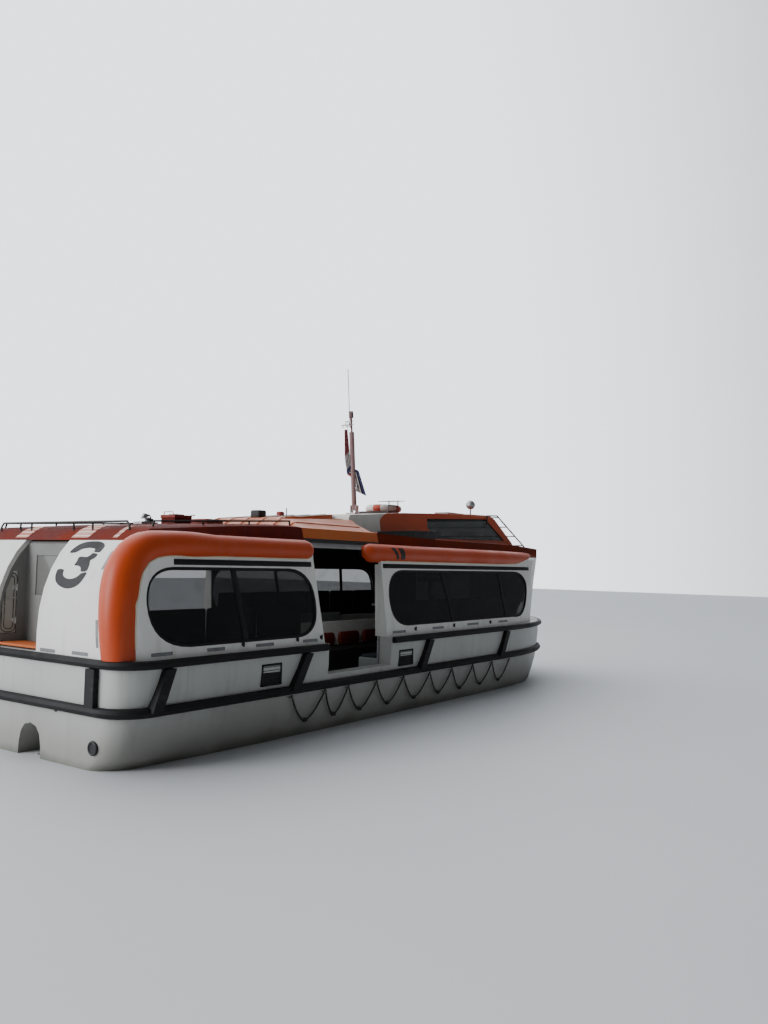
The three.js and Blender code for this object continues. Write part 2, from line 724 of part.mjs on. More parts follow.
// Outline in (x, z) of the cut through the raked windscreen
function screenOutline() {
  const foot = new THREE.Vector2(...SCREEN.foot);
  const head = new THREE.Vector2(...SCREEN.head);
  const run = head.clone().sub(foot);
  const length = run.length();
  run.normalize();
  const out = new THREE.Vector2(-run.y, run.x).multiplyScalar(80);
  const low = foot.clone().addScaledVector(run, SCREEN.edge);
  const high = foot.clone().addScaledVector(run, length - SCREEN.edge);
  return [low.clone().sub(out), low.clone().add(out), high.clone().add(out), high.clone().sub(out)]
    .map((point) => [point.x, point.y]);
}

// Side window of the wheelhouse as (x, z)
const SIDE_LIGHT = [[4500, 2985], [3740, 3425], [1330, 3300], [1300, 3120], [1580, 2930]];

function wheelhouse() {
  const shellBody = wheelhouseBody(0).subtract(wheelhouseBody(WHEELHOUSE_WALL)).intersect(
    box(-FAR, FAR, -FAR, FAR, 2700, FAR),
  );
  const footing = box(-FAR, FAR, -FAR, FAR, 0, 2835);
  const sideLights = alongY(shapeOf(SIDE_LIGHT), -1600, 1600);
  const screen = alongY(shapeOf(screenOutline()), -SCREEN.half, SCREEN.half);
  const body = shellBody.subtract(footing).subtract(sideLights).subtract(screen);
  place('wheelhouse', 'orange', largest(body));
  const pane = wheelhouseBody(16).subtract(wheelhouseBody(26));
  const starboard = box(-FAR, FAR, -FAR, -900, 0, FAR);
  const side = largest(clearOf(pane.intersect(sideLights).intersect(starboard), body));
  placeBoth('glass_wheelhouse', 'glass', side);
  place('glass_windscreen', 'glass', largest(clearOf(pane.intersect(screen), body)));
}

// Fenders

function fenderPath(z, offset, aft, fwd) {
  const side = [];
  for (let i = 0; i <= 5; i += 1) {
    const angle = (Math.PI / 2) * (i / 5);
    const radius = STERN_CORNER + offset;
    const share = hullHalfAt(-6100, z) / HALF_BEAM;
    side.push([
      HULL_AFT - offset + radius * (1 - Math.cos(angle)),
      HALF_BEAM * share - STERN_CORNER + radius * Math.sin(angle), z,
    ]);
  }
  for (const x of [-4200, -2600, 0, BOW_START, 3300, 3900, 4400, 4900, 5300, 5650, 5950, 6180, 6340]) {
    const half = hullHalfAt(x, z);
    if (half > 260) {
      side.push([x + offset * Math.max(0, (x - BOW_START) / 4200), half + offset, z]);
    }
  }
  return side.filter(([x]) => x > aft && x < fwd);
}

function sternLoop(z, offset, end) {
  const side = [...fenderPath(z, offset, -9000, end), [end, hullHalfAt(end, z) + offset, z]];
  const other = side.slice().reverse().map(([x, y]) => [x, -y, z]);
  return [...other, ...side];
}

function bowLoop(z, offset, start) {
  const side = [[start, hullHalfAt(start, z) + offset, z], ...fenderPath(z, offset, start + 200, 9000)];
  const bowX = side[side.length - 1][0];
  const stem = [Math.max(bowX + 90, stemAt(z) + offset), 0, z];
  const other = side.slice().reverse().map(([x, y]) => [x, -y, z]);
  return [...side, stem, ...other];
}

function stemAt(z) {
  let x = 3400;
  while (keelAt(x) < z && x < BOW_TIP) x += 10;
  return x;
}

// Slanted strips between the fenders: columns are x at the foot and x at the head
const STRIPS = [[-6180, -6000], [-3810, -3540], [-610, -340], [2240, 2510]];
const STRIP_WIDTH = 150;

function strip([x0, x1]) {
  const low = LOWER_FENDER.z;
  const high = UPPER_FENDER.z - UPPER_FENDER.radius - 6;
  const outline = [[x0, low], [x0 + STRIP_WIDTH, low], [x1 + STRIP_WIDTH, high], [x1, high]];
  return alongY(shapeOf(outline), -2280, -2150);
}

function fenders() {
  const hull = hullBody();
  const upper = UPPER_FENDER;
  const lower = LOWER_FENDER;
  const behind = joined([hull, outerBody, rollPort, mirrored(rollPort)]);
  const cut = (body) => largest(clearOf(body, behind));
  place('fender_upper_aft', 'rubber', cut(tube(sternLoop(upper.z, 30, OPENING_AFT - 75), upper.radius)));
  place('fender_upper_fwd', 'rubber', cut(tube(bowLoop(upper.z, 30, OPENING_FWD + 25), upper.radius)));
  const strips = STRIPS.map(strip);
  const sternStrip = box(-6570, -6450, -1720, -1560, lower.z, upper.z - upper.radius - 6);
  const aft = joined([
    tube(sternLoop(lower.z, 32, -3000), lower.radius),
    strips[0], mirrored(strips[0]), strips[1], mirrored(strips[1]), sternStrip, mirrored(sternStrip),
  ]);
  place('fender_lower_aft', 'rubber', cut(aft));
  const fwd = joined([
    tube(bowLoop(lower.z, 32, -3000 + GAP), lower.radius),
    strips[2], mirrored(strips[2]), strips[3], mirrored(strips[3]),
  ]);
  place('fender_lower_fwd', 'rubber', cut(fwd));
}

function hatchLid() {
  const over = HATCH.overhang;
  const floor = HATCH.top + RUNNING_GAP;
  place('hatch_lid', 'grey', box(
    HATCH.aft - over, HATCH.fwd + over, -HATCH.half - over, HATCH.half + over, floor, floor + HATCH.lid,
  ));
}

// Propellers, rudders and engines

const PROPELLER = { x: -5930, hub: 60, blades: 4 };
const ENGINE = { aft: -5000, fwd: -3900, half: 300, high: 1120 };

function blade(turn) {
  const outline = new THREE.Shape();
  outline.moveTo(-30, 0);
  outline.quadraticCurveTo(-120, 110, -70, 200);
  outline.quadraticCurveTo(0, 262, 70, 200);
  outline.quadraticCurveTo(120, 110, 30, 0);
  const geometry = new THREE.ExtrudeGeometry(outline, { depth: 14, bevelEnabled: false, curveSegments: 5 });
  geometry.translate(0, 0, -7);
  geometry.rotateY(Math.PI / 2 - 0.6);
  geometry.rotateX(turn);
  return solid(geometry);
}

function propeller(y) {
  const disc = joined([
    rodX(-70, 80, 0, 0, PROPELLER.hub, 16),
    ...Array.from({ length: PROPELLER.blades }, (_, i) => blade((2 * Math.PI * i) / PROPELLER.blades)),
    rodX(60, SHAFT_END - PROPELLER.x, 0, 0, SHAFT_RADIUS, 16),
  ]);
  return disc.translate([PROPELLER.x, y, SHAFT_Z]);
}

function rudder(y) {
  const plate = alongY(shapeOf([
    [RUDDER_X - 190, -640], [RUDDER_X + 110, -640], [RUDDER_X + 130, -60], [RUDDER_X - 170, 20],
  ]), y - 18, y + 18);
  return plate.add(post(RUDDER_X, y, -600, 420, STOCK_RADIUS, 16));
}

function drive() {
  for (const [side, y] of [['stbd', -TUNNEL_Y], ['port', TUNNEL_Y]]) {
    place(`propeller_${side}`, 'bronze', propeller(y));
    place(`rudder_${side}`, 'hull', rudder(y));
    place(`engine_${side}`, 'grey', box(
      ENGINE.aft, ENGINE.fwd, y - ENGINE.half, y + ENGINE.half, FLOOR_Z + GAP, ENGINE.high,
    ));
  }
}

// Seats and helm inside the cabin

const SEAT_Z = 880;
const SEAT_BACK = { high: 1330, half: 20 };

// Benches along the walls: columns are the name and the first and last x
const WALL_BENCHES = [['bench_aft', -5600, -3200], ['bench_fwd', -1300, 2500]];
const WALL_BENCH = { inner: 1500, outer: 1900, back: 1880 };
const MID_BENCH = { aft: -3400, fwd: 2300, half: 560 };

const HELM = { aft: 2500, fwd: 4300, half: 1000, deck: 1500, thick: 50, leg: 80 };
const CONSOLE = { aft: 3800, fwd: 4200, half: 700, high: 2450 };
const HELM_SEAT = { aft: 3100, fwd: 3500, half: 220, low: 2050, high: 2130, backHigh: 2650 };
const WHEEL = { x: 3730, z: 2330, radius: 170, rim: 14, spoke: 168 };

// Locker bench with its back
function bench(x0, x1, y0, y1, backY) {
  const locker = box(x0, x1, y0, y1, FLOOR_Z + GAP, SEAT_Z);
  const back = box(x0, x1, backY - SEAT_BACK.half, backY + SEAT_BACK.half, SEAT_Z - 1, SEAT_BACK.high);
  return locker.add(back);
}

function helm() {
  const { aft, fwd, half, deck, thick, leg } = HELM;
  const legs = [aft + 60, fwd - 200].flatMap((x) => [-900, 820].map((y) => box(
    x, x + leg, y, y + leg, FLOOR_Z + GAP, deck + 1,
  )));
  return joined([
    box(aft, fwd, -half, half, deck, deck + thick),
    box(CONSOLE.aft, CONSOLE.fwd, -CONSOLE.half, CONSOLE.half, deck + thick - 1, CONSOLE.high),
    ...legs,
  ]);
}

function helmSeat() {
  const { aft, fwd, half, low, high, backHigh } = HELM_SEAT;
  return joined([
    box(aft, fwd, -half, half, low, high),
    post((aft + fwd) / 2, 0, HELM.deck + HELM.thick + GAP, low + 1, 50),
    box(aft - 20, aft + 40, -half, half, high - 1, backHigh),
  ]);
}

function steeringWheel() {
  const { x, z, radius, rim, spoke } = WHEEL;
  const ring = new THREE.TorusGeometry(radius, rim, 8, 20);
  ring.rotateY(Math.PI / 2);
  ring.translate(x, 0, z);
  return joined([
    solid(ring),
    box(x - 8, x + 8, -spoke, spoke, z - 12, z + 12),
    box(x - 8, x + 8, -12, 12, z - spoke, z + spoke),
    rodX(x - 5, CONSOLE.aft - GAP, 0, z, 18),
  ]);
}

function cabin() {
  for (const [name, aft, fwd] of WALL_BENCHES) {
    placeBoth(name, 'seat', bench(aft, fwd, -WALL_BENCH.outer, -WALL_BENCH.inner, -WALL_BENCH.back));
  }
  place('bench_mid', 'seat', bench(MID_BENCH.aft, MID_BENCH.fwd, -MID_BENCH.half, MID_BENCH.half, 0));
  place('helm', 'grey', helm());
  place('helm_seat', 'seat', helmSeat());
  place('steering_wheel', 'black', steeringWheel());
}

// Mast with its lantern, aerials and flag, raked aft and stepped so that it folds down

const MAST = {
  x: 470, rake: 5.5, pivot: 3460, foot: 3425, shoulder: 4940, neck: 5210, top: 5320, whip: 6150,
  radius: 48, neckRadius: 20, lampRadius: 43, whipRadius: 7,
};
const MAST_CHEEK = 56;

// The flag as (distance across the mast, height), seen from the starboard quarter
const FLAG = [
  [-140, 4980], [-155, 4400], [-120, 4120], [-30, 4080], [-20, 3850], [80, 3820], [245, 3710], [170, 4000],
  [90, 4260], [-30, 4260], [-50, 4500], [-80, 4980],
];
const FLAG_TURN = -55;

function raked(body) {
  const upright = body.translate([-MAST.x, 0, -MAST.pivot]);
  return upright.rotate([0, -MAST.rake, 0]).translate([MAST.x, 0, MAST.pivot]);
}

function aerials() {
  const ring = new THREE.TorusGeometry(40, 6, 6, 12);
  ring.rotateX(Math.PI / 2);
  ring.translate(-76, 0, 5090);
  const arm = rodX(-130, 45, 0, 5150, 6, 6);
  const link = box(-40, 0, -4, 4, 5084, 5096);
  const crossed = joined([solid(ring.toNonIndexed()), arm, link]);
  return crossed.rotate([0, 0, FLAG_TURN]).translate([MAST.x, 0, 0]);
}

function mastAndFlag() {
  const roof = wheelhouseBody(0);
  const step = joined([
    box(MAST.x - 130, MAST.x + 130, -110, 110, 3200, 3380),
    box(MAST.x - 55, MAST.x + 55, -MAST_CHEEK - 10, -MAST_CHEEK, 3379, 3530),
    box(MAST.x - 55, MAST.x + 55, MAST_CHEEK, MAST_CHEEK + 10, 3379, 3530),
  ]);
  place('mast_step', 'steel', largest(clearOf(step, roof)));
  const spar = joined([
    post(MAST.x, 0, MAST.foot, MAST.shoulder, MAST.radius, 16),
    rodY(RUNNING_GAP - MAST_CHEEK, MAST_CHEEK - RUNNING_GAP, MAST.x, MAST.pivot, 9),
    post(MAST.x, 0, MAST.shoulder - 1, MAST.neck + 1, MAST.neckRadius, 12),
    post(MAST.x, 0, MAST.neck, MAST.top, MAST.lampRadius, 12),
    post(MAST.x - 50, 0, 5020, MAST.whip, MAST.whipRadius, 8),
    box(MAST.x - 52, MAST.x, -6, 6, 5030, 5045),
    box(MAST.x - 52, MAST.x, -6, 6, 5180, 5195),
    aerials(),
  ]);
  place('mast', 'white', raked(largest(spar)));
  const flag = alongY(shapeOf(FLAG), -MAST.radius - 50, 0.4 - MAST.radius).rotate([0, 0, FLAG_TURN])
    .translate([MAST.x, 0, 0]);
  place('flag', 'cloth', raked(flag));
}

const ROOF_RAIL = { y: 1600, aft: -5700, fwd: -3215, height: 90, stays: [-4900, -4050], radius: 14 };
const STERN_RAIL = { x: -5900, half: 1390, z: 2860, bend: 50, legs: [-668, -273, 664, 925], radius: 14 };

function rails() {
  const { x, half, z, bend, legs, radius } = STERN_RAIL;
  const bar = frameTube([
    [x, -half, 2700], [x, -half, z - bend], [x, bend - half, z],
    [x, half - bend, z], [x, half, z - bend], [x, half, 2700],
  ], radius);
  const posts = legs.map((y) => frameTube([[x, y, 2700], [x, y, z]], radius - 1));
  place('rail_stern', 'steel', largest(clearOf(joined([bar, ...posts]), outerBody)));
  const top = (at) => 2765 + roofRise(at) + ROOF_RAIL.height;
  for (const [side, sign] of [['stbd', -1], ['port', 1]]) {
    const y = ROOF_RAIL.y * sign;
    const run = frameTube([
      [ROOF_RAIL.aft - 50, y, 2700], [ROOF_RAIL.aft, y, top(ROOF_RAIL.aft)],
      [ROOF_RAIL.fwd, y, top(ROOF_RAIL.fwd)], [ROOF_RAIL.fwd + 50, y, 2700],
    ], ROOF_RAIL.radius);
    const stays = ROOF_RAIL.stays.map((at) => {
      const share = (at - ROOF_RAIL.aft) / (ROOF_RAIL.fwd - ROOF_RAIL.aft);
      const head = top(ROOF_RAIL.aft) * (1 - share) + top(ROOF_RAIL.fwd) * share;
      return frameTube([[at, y, 2700], [at, y, head]], ROOF_RAIL.radius - 1);
    });
    const behind = outerBody.add(hoodBody(0));
    place(`rail_roof_${side}`, 'steel', largest(clearOf(joined([run, ...stays]), behind)));
  }
}

// Lifeline round the hull, held up at each of its supports by the lower fender
const LINE = { points: 5, top: 599, low: 215, radius: 12, stand: 44 };
const LINE_SUPPORTS = [-3750, -3020, -2480, -1760, -1010, -210, 530, 1280, 2030, 2760];

function lifelines() {
  for (const [side, sign] of [['stbd', -1], ['port', 1]]) {
    const points = [];
    for (let i = 0; i <= (LINE_SUPPORTS.length - 1) * LINE.points; i += 1) {
      const loop = Math.min(LINE_SUPPORTS.length - 2, Math.floor(i / LINE.points));
      const share = i / LINE.points - loop;
      const z = LINE.top - (LINE.top - LINE.low) * (1 - Math.abs(2 * share - 1) ** 1.6);
      const x = LINE_SUPPORTS[loop] * (1 - share) + LINE_SUPPORTS[loop + 1] * share;
      points.push([x, (hullHalfAt(x, z) + LINE.stand) * sign, z]);
    }
    place(`lifeline_${side}`, 'rope', tube(points, LINE.radius, 6));
  }
}

// Lifting hooks, searchlight, guard rail, rack and ring buoy

const HOOKS = { aft: -4520, fwd: 5250 };
const LIGHT = { x: 3356, y: -940, z: 3716, radius: 100, foot: 3626 };
const RACK = {
  aft: 1035, fwd: 1345, y: -420, shelfAft: 915, shelfFwd: 1425, shelfZ: 3624, slope: 0.0719, thick: 12,
};
const BUOY = { x: 1450, z: 3525, radius: 297, tube: 73 };

function hook(x) {
  const deck = deckZ(x);
  const cheek = alongY(shapeOf([
    [x - 110, deck - 60], [x + 110, deck - 60], [x + 110, deck + 20], [x + 60, deck + 130],
    [x - 40, deck + 150], [x - 70, deck + 100], [x - 20, deck + 80], [x + 10, deck + 40],
    [x - 110, deck + 30],
  ]), -22, 22);
  return cheek.add(box(x - 150, x + 150, -90, 90, deck - 25, deck + 25));
}

function searchlight() {
  const { x, y, z, radius, foot } = LIGHT;
  const stand = post(x, y, 3300, foot, 18);
  place('searchlight_post', 'steel', largest(clearOf(stand, wheelhouseBody(0))));
  const lens = box(x + radius * 0.7, x + 2 * radius, y - radius, y + radius, z - radius, z + radius);
  const below = box(-FAR, FAR, -FAR, FAR, 0, foot + RUNNING_GAP);
  const lamp = ball(x, y, z, radius).subtract(lens).subtract(below);
  place('searchlight', 'steel', lamp);
}

// Rails round the raked windscreen, with rungs across
const GUARD = { head: [3750, 1130, 3505], brow: [4220, 1130, 3530], foot: [5520, 1170, 2880], radius: 16 };

function guardRail() {
  const { head, brow, foot, radius } = GUARD;
  const sides = [-1, 1].map((sign) => frameTube([
    [head[0], head[1] * sign, 3300], [head[0], head[1] * sign, head[2]], [brow[0], brow[1] * sign, brow[2]],
    [foot[0], foot[1] * sign, foot[2]], [foot[0], foot[1] * sign, 2500],
  ], radius));
  const rungs = [0.05, 0.35, 0.65, 0.95].map((share) => {
    const [x, y, z] = brow.map((value, i) => value + (foot[i] - value) * share);
    return frameTube([[x, -y, z], [x, y, z]], radius - 4);
  });
  const behind = joined([outerBody, wheelhouseBody(0), rolls]);
  place('guard_rail', 'white', largest(clearOf(joined([...sides, ...rungs]), behind)));
}

function roofRack() {
  const ring = new THREE.TorusGeometry(BUOY.radius, BUOY.tube, 8, 20);
  ring.translate(BUOY.x, 0, BUOY.z);
  const buoy = solid(ring);
  const { shelfAft, shelfFwd, shelfZ, slope, thick, y } = RACK;
  const shelfAt = (x) => shelfZ + (x - shelfAft) * slope;
  const posts = [RACK.aft, RACK.fwd].map((x) => post(x, y, 3300, shelfAt(x) + 5, 11, 8));
  const shelf = alongY(shapeOf([
    [shelfAft, shelfZ], [shelfFwd, shelfAt(shelfFwd)], [shelfFwd, shelfAt(shelfFwd) + thick],
    [shelfAft, shelfZ + thick],
  ]), y - 120, y + 180);
  const cradle = [RACK.aft, RACK.fwd].map((x) => box(
    x - 20, x + 20, y - 11, 300, 3300, BUOY.z - BUOY.tube,
  ));
  const rack = joined([...posts, shelf, ...cradle]);
  place('roof_rack', 'white', largest(clearOf(rack, wheelhouseBody(0).add(buoy))));
  place('ring_buoy', 'orange', buoy);
}

function hooks() {
  const behind = outerBody.add(wheelhouseBody(0));
  place('hook_aft', 'steel', largest(clearOf(hook(HOOKS.aft), behind)));
  place('hook_fwd', 'steel', largest(clearOf(hook(HOOKS.fwd), behind)));
}

roofPieces();
canopySides();
sternPieces();
wheelhouse();
place('hull', 'hull', hullPiece());
fenders();
hatchLid();
placeBoth('roll_aft', 'orange', mirrored(rollPort));
placeBoth('roll_fwd', 'orange', mirrored(rollFore));
drive();
cabin();
mastAndFlag();
rails();
lifelines();
hooks();
searchlight();
guardRail();
roofRack();

export default boat;
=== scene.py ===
"""Finish, fittings and stage of an open-sided tender lifeboat with a raised wheelhouse."""

import json
import math

import bpy
from mathutils import Matrix, Vector

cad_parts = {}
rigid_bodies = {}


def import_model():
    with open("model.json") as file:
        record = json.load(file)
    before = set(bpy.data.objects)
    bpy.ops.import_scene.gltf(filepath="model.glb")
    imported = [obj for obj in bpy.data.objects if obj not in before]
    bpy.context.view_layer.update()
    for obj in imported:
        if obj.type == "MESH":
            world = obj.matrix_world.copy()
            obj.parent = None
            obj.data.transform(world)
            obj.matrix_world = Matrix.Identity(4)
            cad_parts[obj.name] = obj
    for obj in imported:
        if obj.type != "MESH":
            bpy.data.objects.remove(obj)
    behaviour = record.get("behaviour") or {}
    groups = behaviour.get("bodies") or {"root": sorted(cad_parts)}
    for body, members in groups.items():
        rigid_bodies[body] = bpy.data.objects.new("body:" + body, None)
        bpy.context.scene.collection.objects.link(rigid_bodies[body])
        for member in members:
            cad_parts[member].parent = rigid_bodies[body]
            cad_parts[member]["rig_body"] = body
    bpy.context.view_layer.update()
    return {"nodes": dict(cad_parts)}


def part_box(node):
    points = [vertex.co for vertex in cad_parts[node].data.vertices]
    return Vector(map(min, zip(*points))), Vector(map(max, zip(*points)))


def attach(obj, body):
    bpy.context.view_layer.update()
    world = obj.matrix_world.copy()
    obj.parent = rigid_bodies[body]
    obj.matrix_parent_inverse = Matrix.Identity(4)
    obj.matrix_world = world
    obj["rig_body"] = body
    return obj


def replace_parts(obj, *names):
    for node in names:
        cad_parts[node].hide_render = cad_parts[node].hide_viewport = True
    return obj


bl_info = {
    "name": "Tender lifeboat",
    "version": (1, 0, 0),
    "blender": (4, 5, 0),
    "location": "View3D > Sidebar > Lifeboat",
    "description": "Paints a tender lifeboat, adds its fittings and sets its stage",
    "category": "Object",
}

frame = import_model()

# Sides of the boat, by the sign of Y
SIDES = {"stbd": -1, "port": 1}
X, Y, Z = Vector((1, 0, 0)), Vector((0, 1, 0)), Vector((0, 0, 1))


# Settings that a user would change


def tint(label, text, *color):
    return bpy.props.FloatVectorProperty(
        name=label, description=text, subtype="COLOR", size=3, min=0, max=1, default=color
    )


def span(label, text, metres):
    return bpy.props.FloatProperty(name=label, description=text, default=metres, min=0.0005, unit="LENGTH")


def share(label, text, part):
    return bpy.props.FloatProperty(name=label, description=text, default=part, min=0, max=1, subtype="FACTOR")


class LifeboatSettings(bpy.types.PropertyGroup):
    # The hull's own grey-white, darkened further as painted shade of its shaded side
    hull_white_in_shade: tint("Hull white", "Gelcoat of the hull", 0.44, 0.45, 0.43)
    canopy_white: tint("Canopy white", "Gelcoat of the canopy's walls", 0.72, 0.72, 0.68)
    # Near-black painted shade, laid on the canopy's inner faces, under the hood's eaves, behind the lower
    # windows and under the middle bench
    painted_shade: tint("Lining", "Dark lining inside the canopy", 0.02, 0.019, 0.018)
    orange: tint("Orange", "Rolls along the eaves and the wheelhouse's sides", 0.46, 0.05, 0.004)
    roof_orange: tint("Roof orange", "Hood over the entrances", 0.48, 0.1, 0.008)
    maroon: tint("Roof red", "Non-slip paint on the roof", 0.09, 0.009, 0.006)
    rubber: tint("Rubber", "Fenders, rubbing strips and window seals", 0.007, 0.007, 0.0075)
    tape_grey: tint("Tape grey", "Reflective tape", 0.2, 0.205, 0.21)
    marking: tint("Marking", "Painted boat number", 0.016, 0.016, 0.017)
    wear: share("Wear", "How dirty and streaked the boat is", 0.55)
    edge: span("Edge", "Rounding of the moulded edges", 0.008)
    seal: span("Window seal", "Radius of the seal round each window", 0.026)
    tape_width: span("Tape width", "Width of the reflective tape", 0.042)
    rope: span("Lifeline", "Radius of the lifeline along the hull", 0.013)
    halyard: span("Halyard", "Radius of the lines at the mast", 0.004)
    flag_width: span("Flag width", "Width of the flag's cloth", 0.6)


def settings():
    return bpy.context.scene.lifeboat


# Shader graphs written as arithmetic


class Wire:
    """One output of a shader node, which takes part in sums and products."""

    def __init__(self, paint, socket):
        self.paint = paint
        self.socket = socket

    def __add__(self, other):
        return self.paint.math("ADD", self, other)

    def __mul__(self, other):
        return self.paint.math("MULTIPLY", self, other)

    def __sub__(self, other):
        return self.paint.math("SUBTRACT", self, other)

    def __rsub__(self, other):
        return self.paint.math("SUBTRACT", other, self)

    def __truediv__(self, other):
        return self.paint.math("DIVIDE", self, other)

    def __rtruediv__(self, other):
        return self.paint.math("DIVIDE", other, self)

    def __gt__(self, other):
        return self.paint.math("GREATER_THAN", self, other)

    def __lt__(self, other):
        return self.paint.math("LESS_THAN", self, other)

    __radd__ = __add__
    __rmul__ = __mul__

    def least(self, limit):
        return self.paint.math("MINIMUM", self, limit)

    def most(self, limit):
        return self.paint.math("MAXIMUM", self, limit)

    def squared(self):
        return self * self

    def sine(self):
        return self.paint.math("SINE", self)

    def cosine(self):
        return self.paint.math("COSINE", self)

    def ramp(self, low, high):
        """0 below low, 1 above high and a smooth step between."""
        node = self.paint.node("ShaderNodeMapRange", self, low, high, interpolation_type="SMOOTHSTEP")
        return Wire(self.paint, node.outputs[0])


class Paint:
    """A procedural material, built up from the place of each point on the boat."""

    def __init__(self, name):
        self.material = bpy.data.materials.new(name)
        self.material.use_nodes = True
        self.tree = self.material.node_tree
        self.shader = self.tree.nodes["Principled BSDF"]
        self.place = Wire(self, self.node("ShaderNodeTexCoord").outputs["Object"])

    def node(self, kind, *values, **options):
        made = self.tree.nodes.new(kind)
        for option, value in options.items():
            setattr(made, option, value)
        for index, value in enumerate(values):
            self.plug(made, index, value)
        return made

    def plug(self, node, name, value):
        socket = node.inputs[name]
        if isinstance(value, Wire):
            self.tree.links.new(value.socket, socket)
        elif socket.type == "RGBA":
            socket.default_value = (*value[:3], 1)
        else:
            socket.default_value = value

    def math(self, operation, first, second=0.0):
        return Wire(self, self.node("ShaderNodeMath", first, second, operation=operation).outputs[0])

    def parts(self, wire):
        """The X, Y and Z of a place."""
        return [Wire(self, output) for output in self.node("ShaderNodeSeparateXYZ", wire).outputs]

    def stretched(self, factors):
        node = self.node("ShaderNodeVectorMath", self.place, factors, operation="MULTIPLY")
        return Wire(self, node.outputs[0])

    def noise(self, scale, detail=3, stretch=(1, 1, 1), roughness=0.55):
        node = self.node("ShaderNodeTexNoise")
        values = {"Vector": self.stretched(stretch), "Scale": scale, "Detail": detail, "Roughness": roughness}
        for name, value in values.items():
            self.plug(node, name, value)
        return Wire(self, node.outputs[0])

    def mix(self, part, first, second):
        """The colour first, blended towards second by part."""
        node = self.node("ShaderNodeMix", part, data_type="RGBA")
        self.plug(node, 6, first)
        self.plug(node, 7, second)
        return Wire(self, node.outputs[2])

    def coat(self, face, rough, height=None, depth=0, strength=0.5, **sockets):
        """The material with its colour, roughness, relief and other sockets plugged in."""
        sockets.update(Base_Color=face, Roughness=rough)
        if height:
            sockets["Normal"] = self.relief(height, depth, strength)
        for name, value in sockets.items():
            self.plug(self.shader, name.replace("_", " "), value)
        return self.material

    def relief(self, height, depth, strength=0.5):
        """A finely uneven surface, for the shader's normal."""
        bump = self.node("ShaderNodeBump")
        for name, value in {"Strength": strength, "Distance": depth, "Height": height}.items():
            self.plug(bump, name, value)
        return Wire(self, bump.outputs[0])


def shaded(color, factor):
    """The colour made darker or lighter by a factor."""
    return tuple(min(1, part * factor) for part in color[:3])


def weathering(paint, film_scale):
    """Rain streaks, grey film and dark spots, each from 0 to 1."""
    streaks = paint.noise(1.0, 4, (7, 7, 0.5)).ramp(0.5, 0.78)
    film = paint.noise(film_scale, 5).ramp(0.35, 0.75)
    spots = paint.noise(14, 5, roughness=0.7).ramp(0.62, 0.74)
    return streaks, film, spots


def gelcoat(name, color, dirt=1.0, gloss=0.34, low_dirt=0.0):
    """Moulded plastic paint with rain streaks, grey film and, on a hull, a stained lower part."""
    wear = settings().wear * dirt
    paint = Paint(name)
    streaks, film, spots = weathering(paint, 0.9)
    face = paint.mix(film * (0.5 * wear), color, shaded(color, 0.74))
    face = paint.mix(streaks * (0.55 * wear), face, (0.21, 0.19, 0.155))
    face = paint.mix(spots * (0.5 * wear), face, (0.16, 0.14, 0.12))
    if low_dirt:
        height = paint.parts(paint.place)[2] + paint.noise(0.7, 4) * 0.5
        face = paint.mix((1 - height.ramp(0.25, 1.35)) * low_dirt, face, (0.2, 0.19, 0.165))
        face = paint.mix((1 - height.ramp(0.2, 0.42)) * low_dirt, face, (0.075, 0.085, 0.06))
    rough = gloss + film * 0.2 + streaks * 0.15 * wear
    relief = paint.noise(55, 2) * 0.25 + paint.noise(2.2, 2)
    return paint.coat(face, rough, relief, 0.0022, Specular_IOR_Level=0.35)


def wheelhouse_curve(x, y, z):
    """1 aft of the curved edge where the wheelhouse's orange side begins."""
    reach = ((x.least(0.45) - 0.45) / 0.74).squared() + ((z.most(3.14) - 3.14) / 0.24).squared()
    return (reach > 1) * (x < 0.45)


# Height below which the hood is painted near-black, as painted shade under its eaves
HOOD_SHADE_HEIGHT = 2.76


def hood_crown(x, y, z):
    """1 on the pale crown along the middle of the hood's forward half."""
    return (y.squared() < 0.64) * x.ramp(-2.11, -2.1)


def two_tone(name, color, other, mask, foot=-1):
    """Moulded plastic paint in two colours with a sharp line between them, and near-black painted shade below
    its foot.
    """
    wear = settings().wear
    paint = Paint(name)
    x, y, z = paint.parts(paint.place)
    part = mask(x, y, z)
    streaks, film, spots = weathering(paint, 1.1)
    face = paint.mix(part, color, other)
    face = paint.mix(film * (0.4 * wear), face, (0.3, 0.16, 0.07))
    face = paint.mix(streaks * (0.35 * wear), face, (0.17, 0.1, 0.06))
    face = paint.mix(spots * (0.35 * wear), face, (0.12, 0.08, 0.05))
    # Painted shade: near-black below the foot height
    face = paint.mix(z < foot, face, settings().painted_shade)
    relief = paint.noise(55, 2) * 0.25 + paint.noise(2.2, 2) + part * 0.4
    return paint.coat(face, 0.34 + film * 0.22, relief, 0.0022, Specular_IOR_Level=0.35)


def non_slip(name, color, pale, line_pitch=0):
    """Roof paint full of grit, bleached and walked on, with pale lines across it at a pitch."""
    paint = Paint(name)
    faded = paint.noise(1.4, 6, roughness=0.65).ramp(0.38, 0.75)
    stains = paint.noise(5, 6, roughness=0.75).ramp(0.6, 0.72)
    grit = paint.noise(210, 2)
    face = paint.mix(faded * 0.55, color, pale)
    face = paint.mix(stains * 0.5, face, (0.07, 0.05, 0.045))
    face = paint.mix(grit.ramp(0.55, 0.75) * 0.3, face, shaded(pale, 1.5))
    if line_pitch:
        lines = (paint.parts(paint.place)[0] * (math.tau / line_pitch)).sine().ramp(0.75, 0.85)
        face = paint.mix(lines, face, (0.75, 0.74, 0.7))
    return paint.coat(face, 0.72 + faded * 0.18, grit, 0.0025, 0.7, Specular_IOR_Level=0.12)


